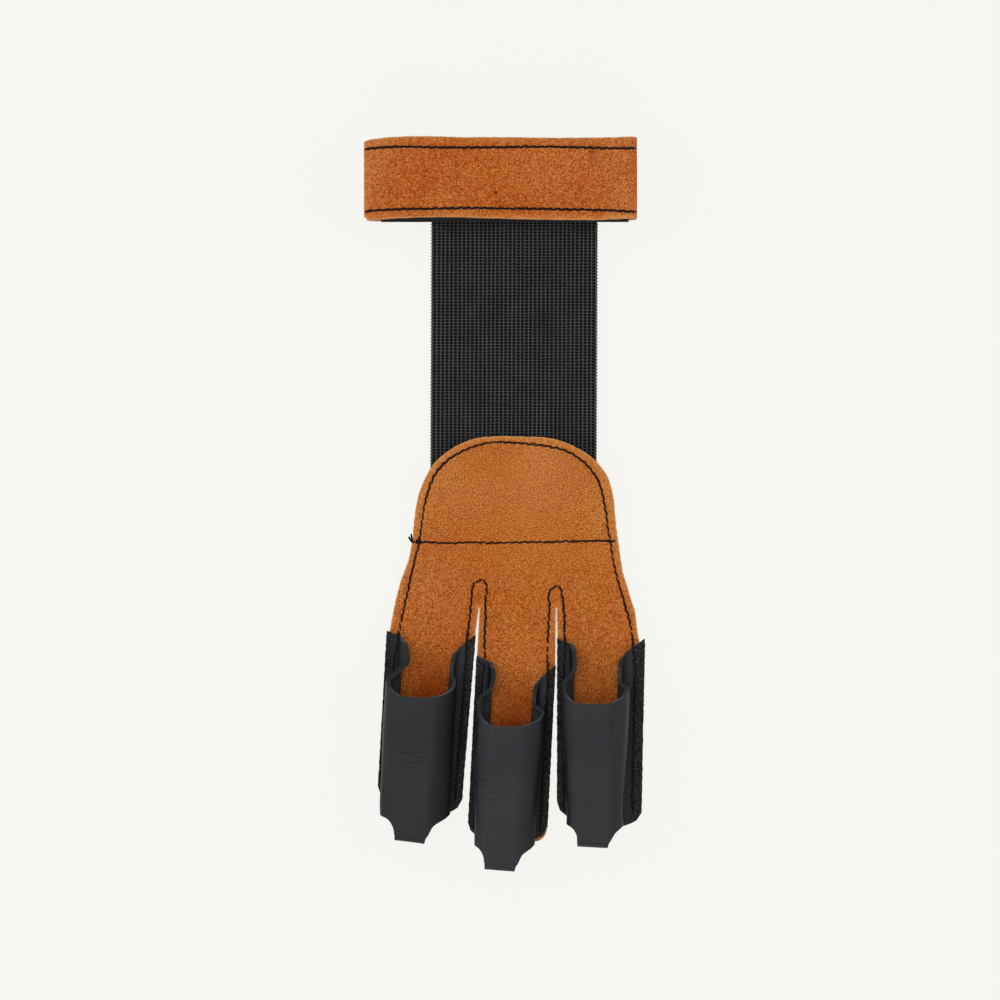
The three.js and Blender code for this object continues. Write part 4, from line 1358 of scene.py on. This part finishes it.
def stall_grid(finger):
    """The middle of a stall's wall, tube and tab, and which of the grid's cells are there."""
    down = np.linspace(0, 1, TUBE_ROWS + 1)
    tube_grid = np.empty((TUBE_ROWS + 1, STALL_COLUMNS + 1, 3))
    for index in range(STALL_COLUMNS + 1):
        side = 0 if index <= STALL_COLUMNS // 2 else 1
        column = min(index, STALL_COLUMNS - index) / SIDE_STEPS
        station, start, stop = column_span(finger, column, side)
        y = mix(start, stop, down)
        tube_grid[:, index] = through_stations(section_stations(finger, y, side), station)
    bend = tab_bend(finger)
    crown = through_stations(section_stations(finger, np.array([bend]), 1), len(half_section) - 1)[0]
    route = tab_route(finger, crown[2])
    tab = np.repeat(tube_grid[-1:], len(route), axis=0)
    tab[..., 1] = route[:, :1]
    tab[..., 2] = route[:, 1:]
    middle = np.concatenate([tube_grid, tab])
    on_tab = ease(-middle[..., 1], -bend - 3, -bend)
    from_crown = (middle[..., 0] - crown[0]) / TAB_WIDTH
    middle[..., 1] -= on_tab * finger["tab_tilt"] * from_crown
    snipped = ease(-middle[..., 1], -bend - 0.8, -bend + NOSE_RADIUS + 0.5) * ease(from_crown, 0.38, 0.5)
    middle[..., 0] -= TAB_SNIP * snipped
    cell = np.arange(STALL_COLUMNS)
    present = np.ones((len(middle) - 1, STALL_COLUMNS), bool)
    present[TUBE_ROWS:] = np.minimum(cell, STALL_COLUMNS - 1 - cell) >= TAB_COLUMN * SIDE_STEPS
    return middle, present


def stall(finger):
    middle, present = stall_grid(finger)
    index = np.arange(STALL_COLUMNS + 1)
    on_left = index <= STALL_COLUMNS // 2
    column = np.minimum(index, STALL_COLUMNS - index) / SIDE_STEPS

    # The rough flange, painted shade up the wall from the tube's foot, a painted highlight on the crown, and
    # the ragged cut edge
    flange = np.broadcast_to(1 - ease(column, 0.4, 0.8), middle.shape[:2])
    dims = [sizes["dim"] for sizes in stall_sides[finger["name"]]]
    dim = np.where(on_left, dims[0], dims[1])
    # Painted shade: darker from the wall's foot up to the side's dim column
    foot = np.broadcast_to(0.8 * ease(column, 0.5, 1.0) * (1 - ease(column, dim - 4, dim)), middle.shape[:2])
    # Painted highlight: the crown lighter toward its top
    crown_light = np.broadcast_to(finger["crown_light"] * ease(column, 7, 12), middle.shape[:2])
    edge_noise = STALL_RAGGED * roughness_at(middle, size=0.9, seed=14)
    middle[..., 0] += edge_noise * (column < 0.2) * np.where(on_left, -1, 1)

    # Broken creases across the crown, and soft swellings
    crown_share = ease(column, 6, 12)
    wander = middle[..., 0] * 0.02 + 0.7 * roughness_at(middle * [1, 0, 0], size=7, seed=15)
    crease = np.zeros(middle.shape[:2])
    for row in creases:
        away = middle[..., 1] - finger["crease"] - row["up"] - wander
        crease -= row["depth"] * fade(away, CREASE_WIDTH)
    broken = np.clip(0.5 + 1.4 * roughness_at(middle, size=4, seed=16), 0, 1)
    soft = 0.16 * roughness_at(middle, size=11, seed=17) + 0.05 * roughness_at(middle, size=4, seed=18)
    relief = 0.45 * crease * broken * crown_share + soft * (1 - flange)
    near_crease = fade(middle[..., 1] - finger["crease"] - wander, 7)
    creased = np.clip(near_crease * broken * crown_share, 0, 1)
    mesh = wall(finger["name"], middle, STALL_SHOWING, [black_leather, leather_edge], present,
                relief=relief, marks={"flange": flange, "foot": foot, "creased": creased, "crown_light": crown_light})
    piece = add_piece(finger["name"] + "_leather", mesh)
    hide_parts(finger["name"])


# Making
strap_piece = wrist_strap()
strap_stitches()
tape("loop_tape", loop_tape_height, -STRAP_SKEW, 0.4, "loop_tape")
tape("hook_tape", hook_tape_height, 0, 1.3, "hook_tape")
webbing()
panel_piece = hand_panel()
panel_stitches()
for finger in fingers:
    stall(finger)

for source, name, slot in (
    (strap_piece, "strap_fuzz", "strap_suede"),
    (panel_piece, "panel_fuzz", "panel_suede"),
):
    add_piece(name, grown(name, loose_fibres, source.data.copy()))


# Floor, light and camera
def add_floor():
    """A pale floor that glows a little, as a lit table does, so shadows on it stay faint."""
    mesh = bpy.data.meshes.new("floor")
    corners = [(-FLOOR_REACH, -FLOOR_REACH), (FLOOR_REACH, -FLOOR_REACH), (FLOOR_REACH, FLOOR_REACH),
               (-FLOOR_REACH, FLOOR_REACH)]
    mesh.from_pydata([(x, y, -FLOOR_GAP * MM) for x, y in corners], [], [(0, 1, 2, 3)])
    material, _, shader, _ = new_material("pale_floor", roughness=0.9, specular_ior_level=0.1)
    shader.inputs["Base Color"].default_value = FLOOR_COLOUR
    shader.inputs["Emission Color"].default_value = FLOOR_GLOW
    shader.inputs["Emission Strength"].default_value = FLOOR_GLOW_STRENGTH
    mesh.materials.append(material)
    floor = in_scene("floor", mesh)


softboxes = [
    dict(name="softbox_above", x=-0.25, y=0.15, z=1.9, width=1.9, depth=1.9, power=16.5),
    dict(name="softbox_left", x=-1.35, y=0.15, z=0.75, width=0.9, depth=1.4, power=5.0),
    dict(name="softbox_right", x=1.35, y=0.05, z=0.8, width=0.9, depth=1.4, power=4.0),
    dict(name="softbox_front", x=-0.05, y=-1.4, z=0.7, width=1.4, depth=0.9, power=4.0),
]


def add_softboxes():
    for box in softboxes:
        data = bpy.data.lights.new(box["name"], "AREA")
        data.shape = "RECTANGLE"
        data.size, data.size_y = box["width"], box["depth"]
        data.energy = box["power"]
        light = in_scene(box["name"], data)
        light.location = (box["x"], box["y"], box["z"])
        light.rotation_euler = (-light.location).to_track_quat("-Z", "Y").to_euler()


add_floor()
add_softboxes()
world = bpy.data.worlds.new("studio")
world.use_nodes = True
background = world.node_tree.nodes["Background"].inputs
background["Color"].default_value = SURROUNDINGS
background["Strength"].default_value = SURROUNDINGS_STRENGTH
bpy.context.scene.world = world
bpy.context.scene.view_settings.view_transform = "Standard"

camera_data = bpy.data.cameras.new("camera")
camera_data.sensor_width = SENSOR_WIDTH
camera_data.lens = SENSOR_WIDTH * CAMERA_HEIGHT / VIEW_WIDTH
camera = in_scene("camera", camera_data)
camera.location = place([*CAMERA_POINT, CAMERA_HEIGHT])
bpy.context.scene.camera = camera
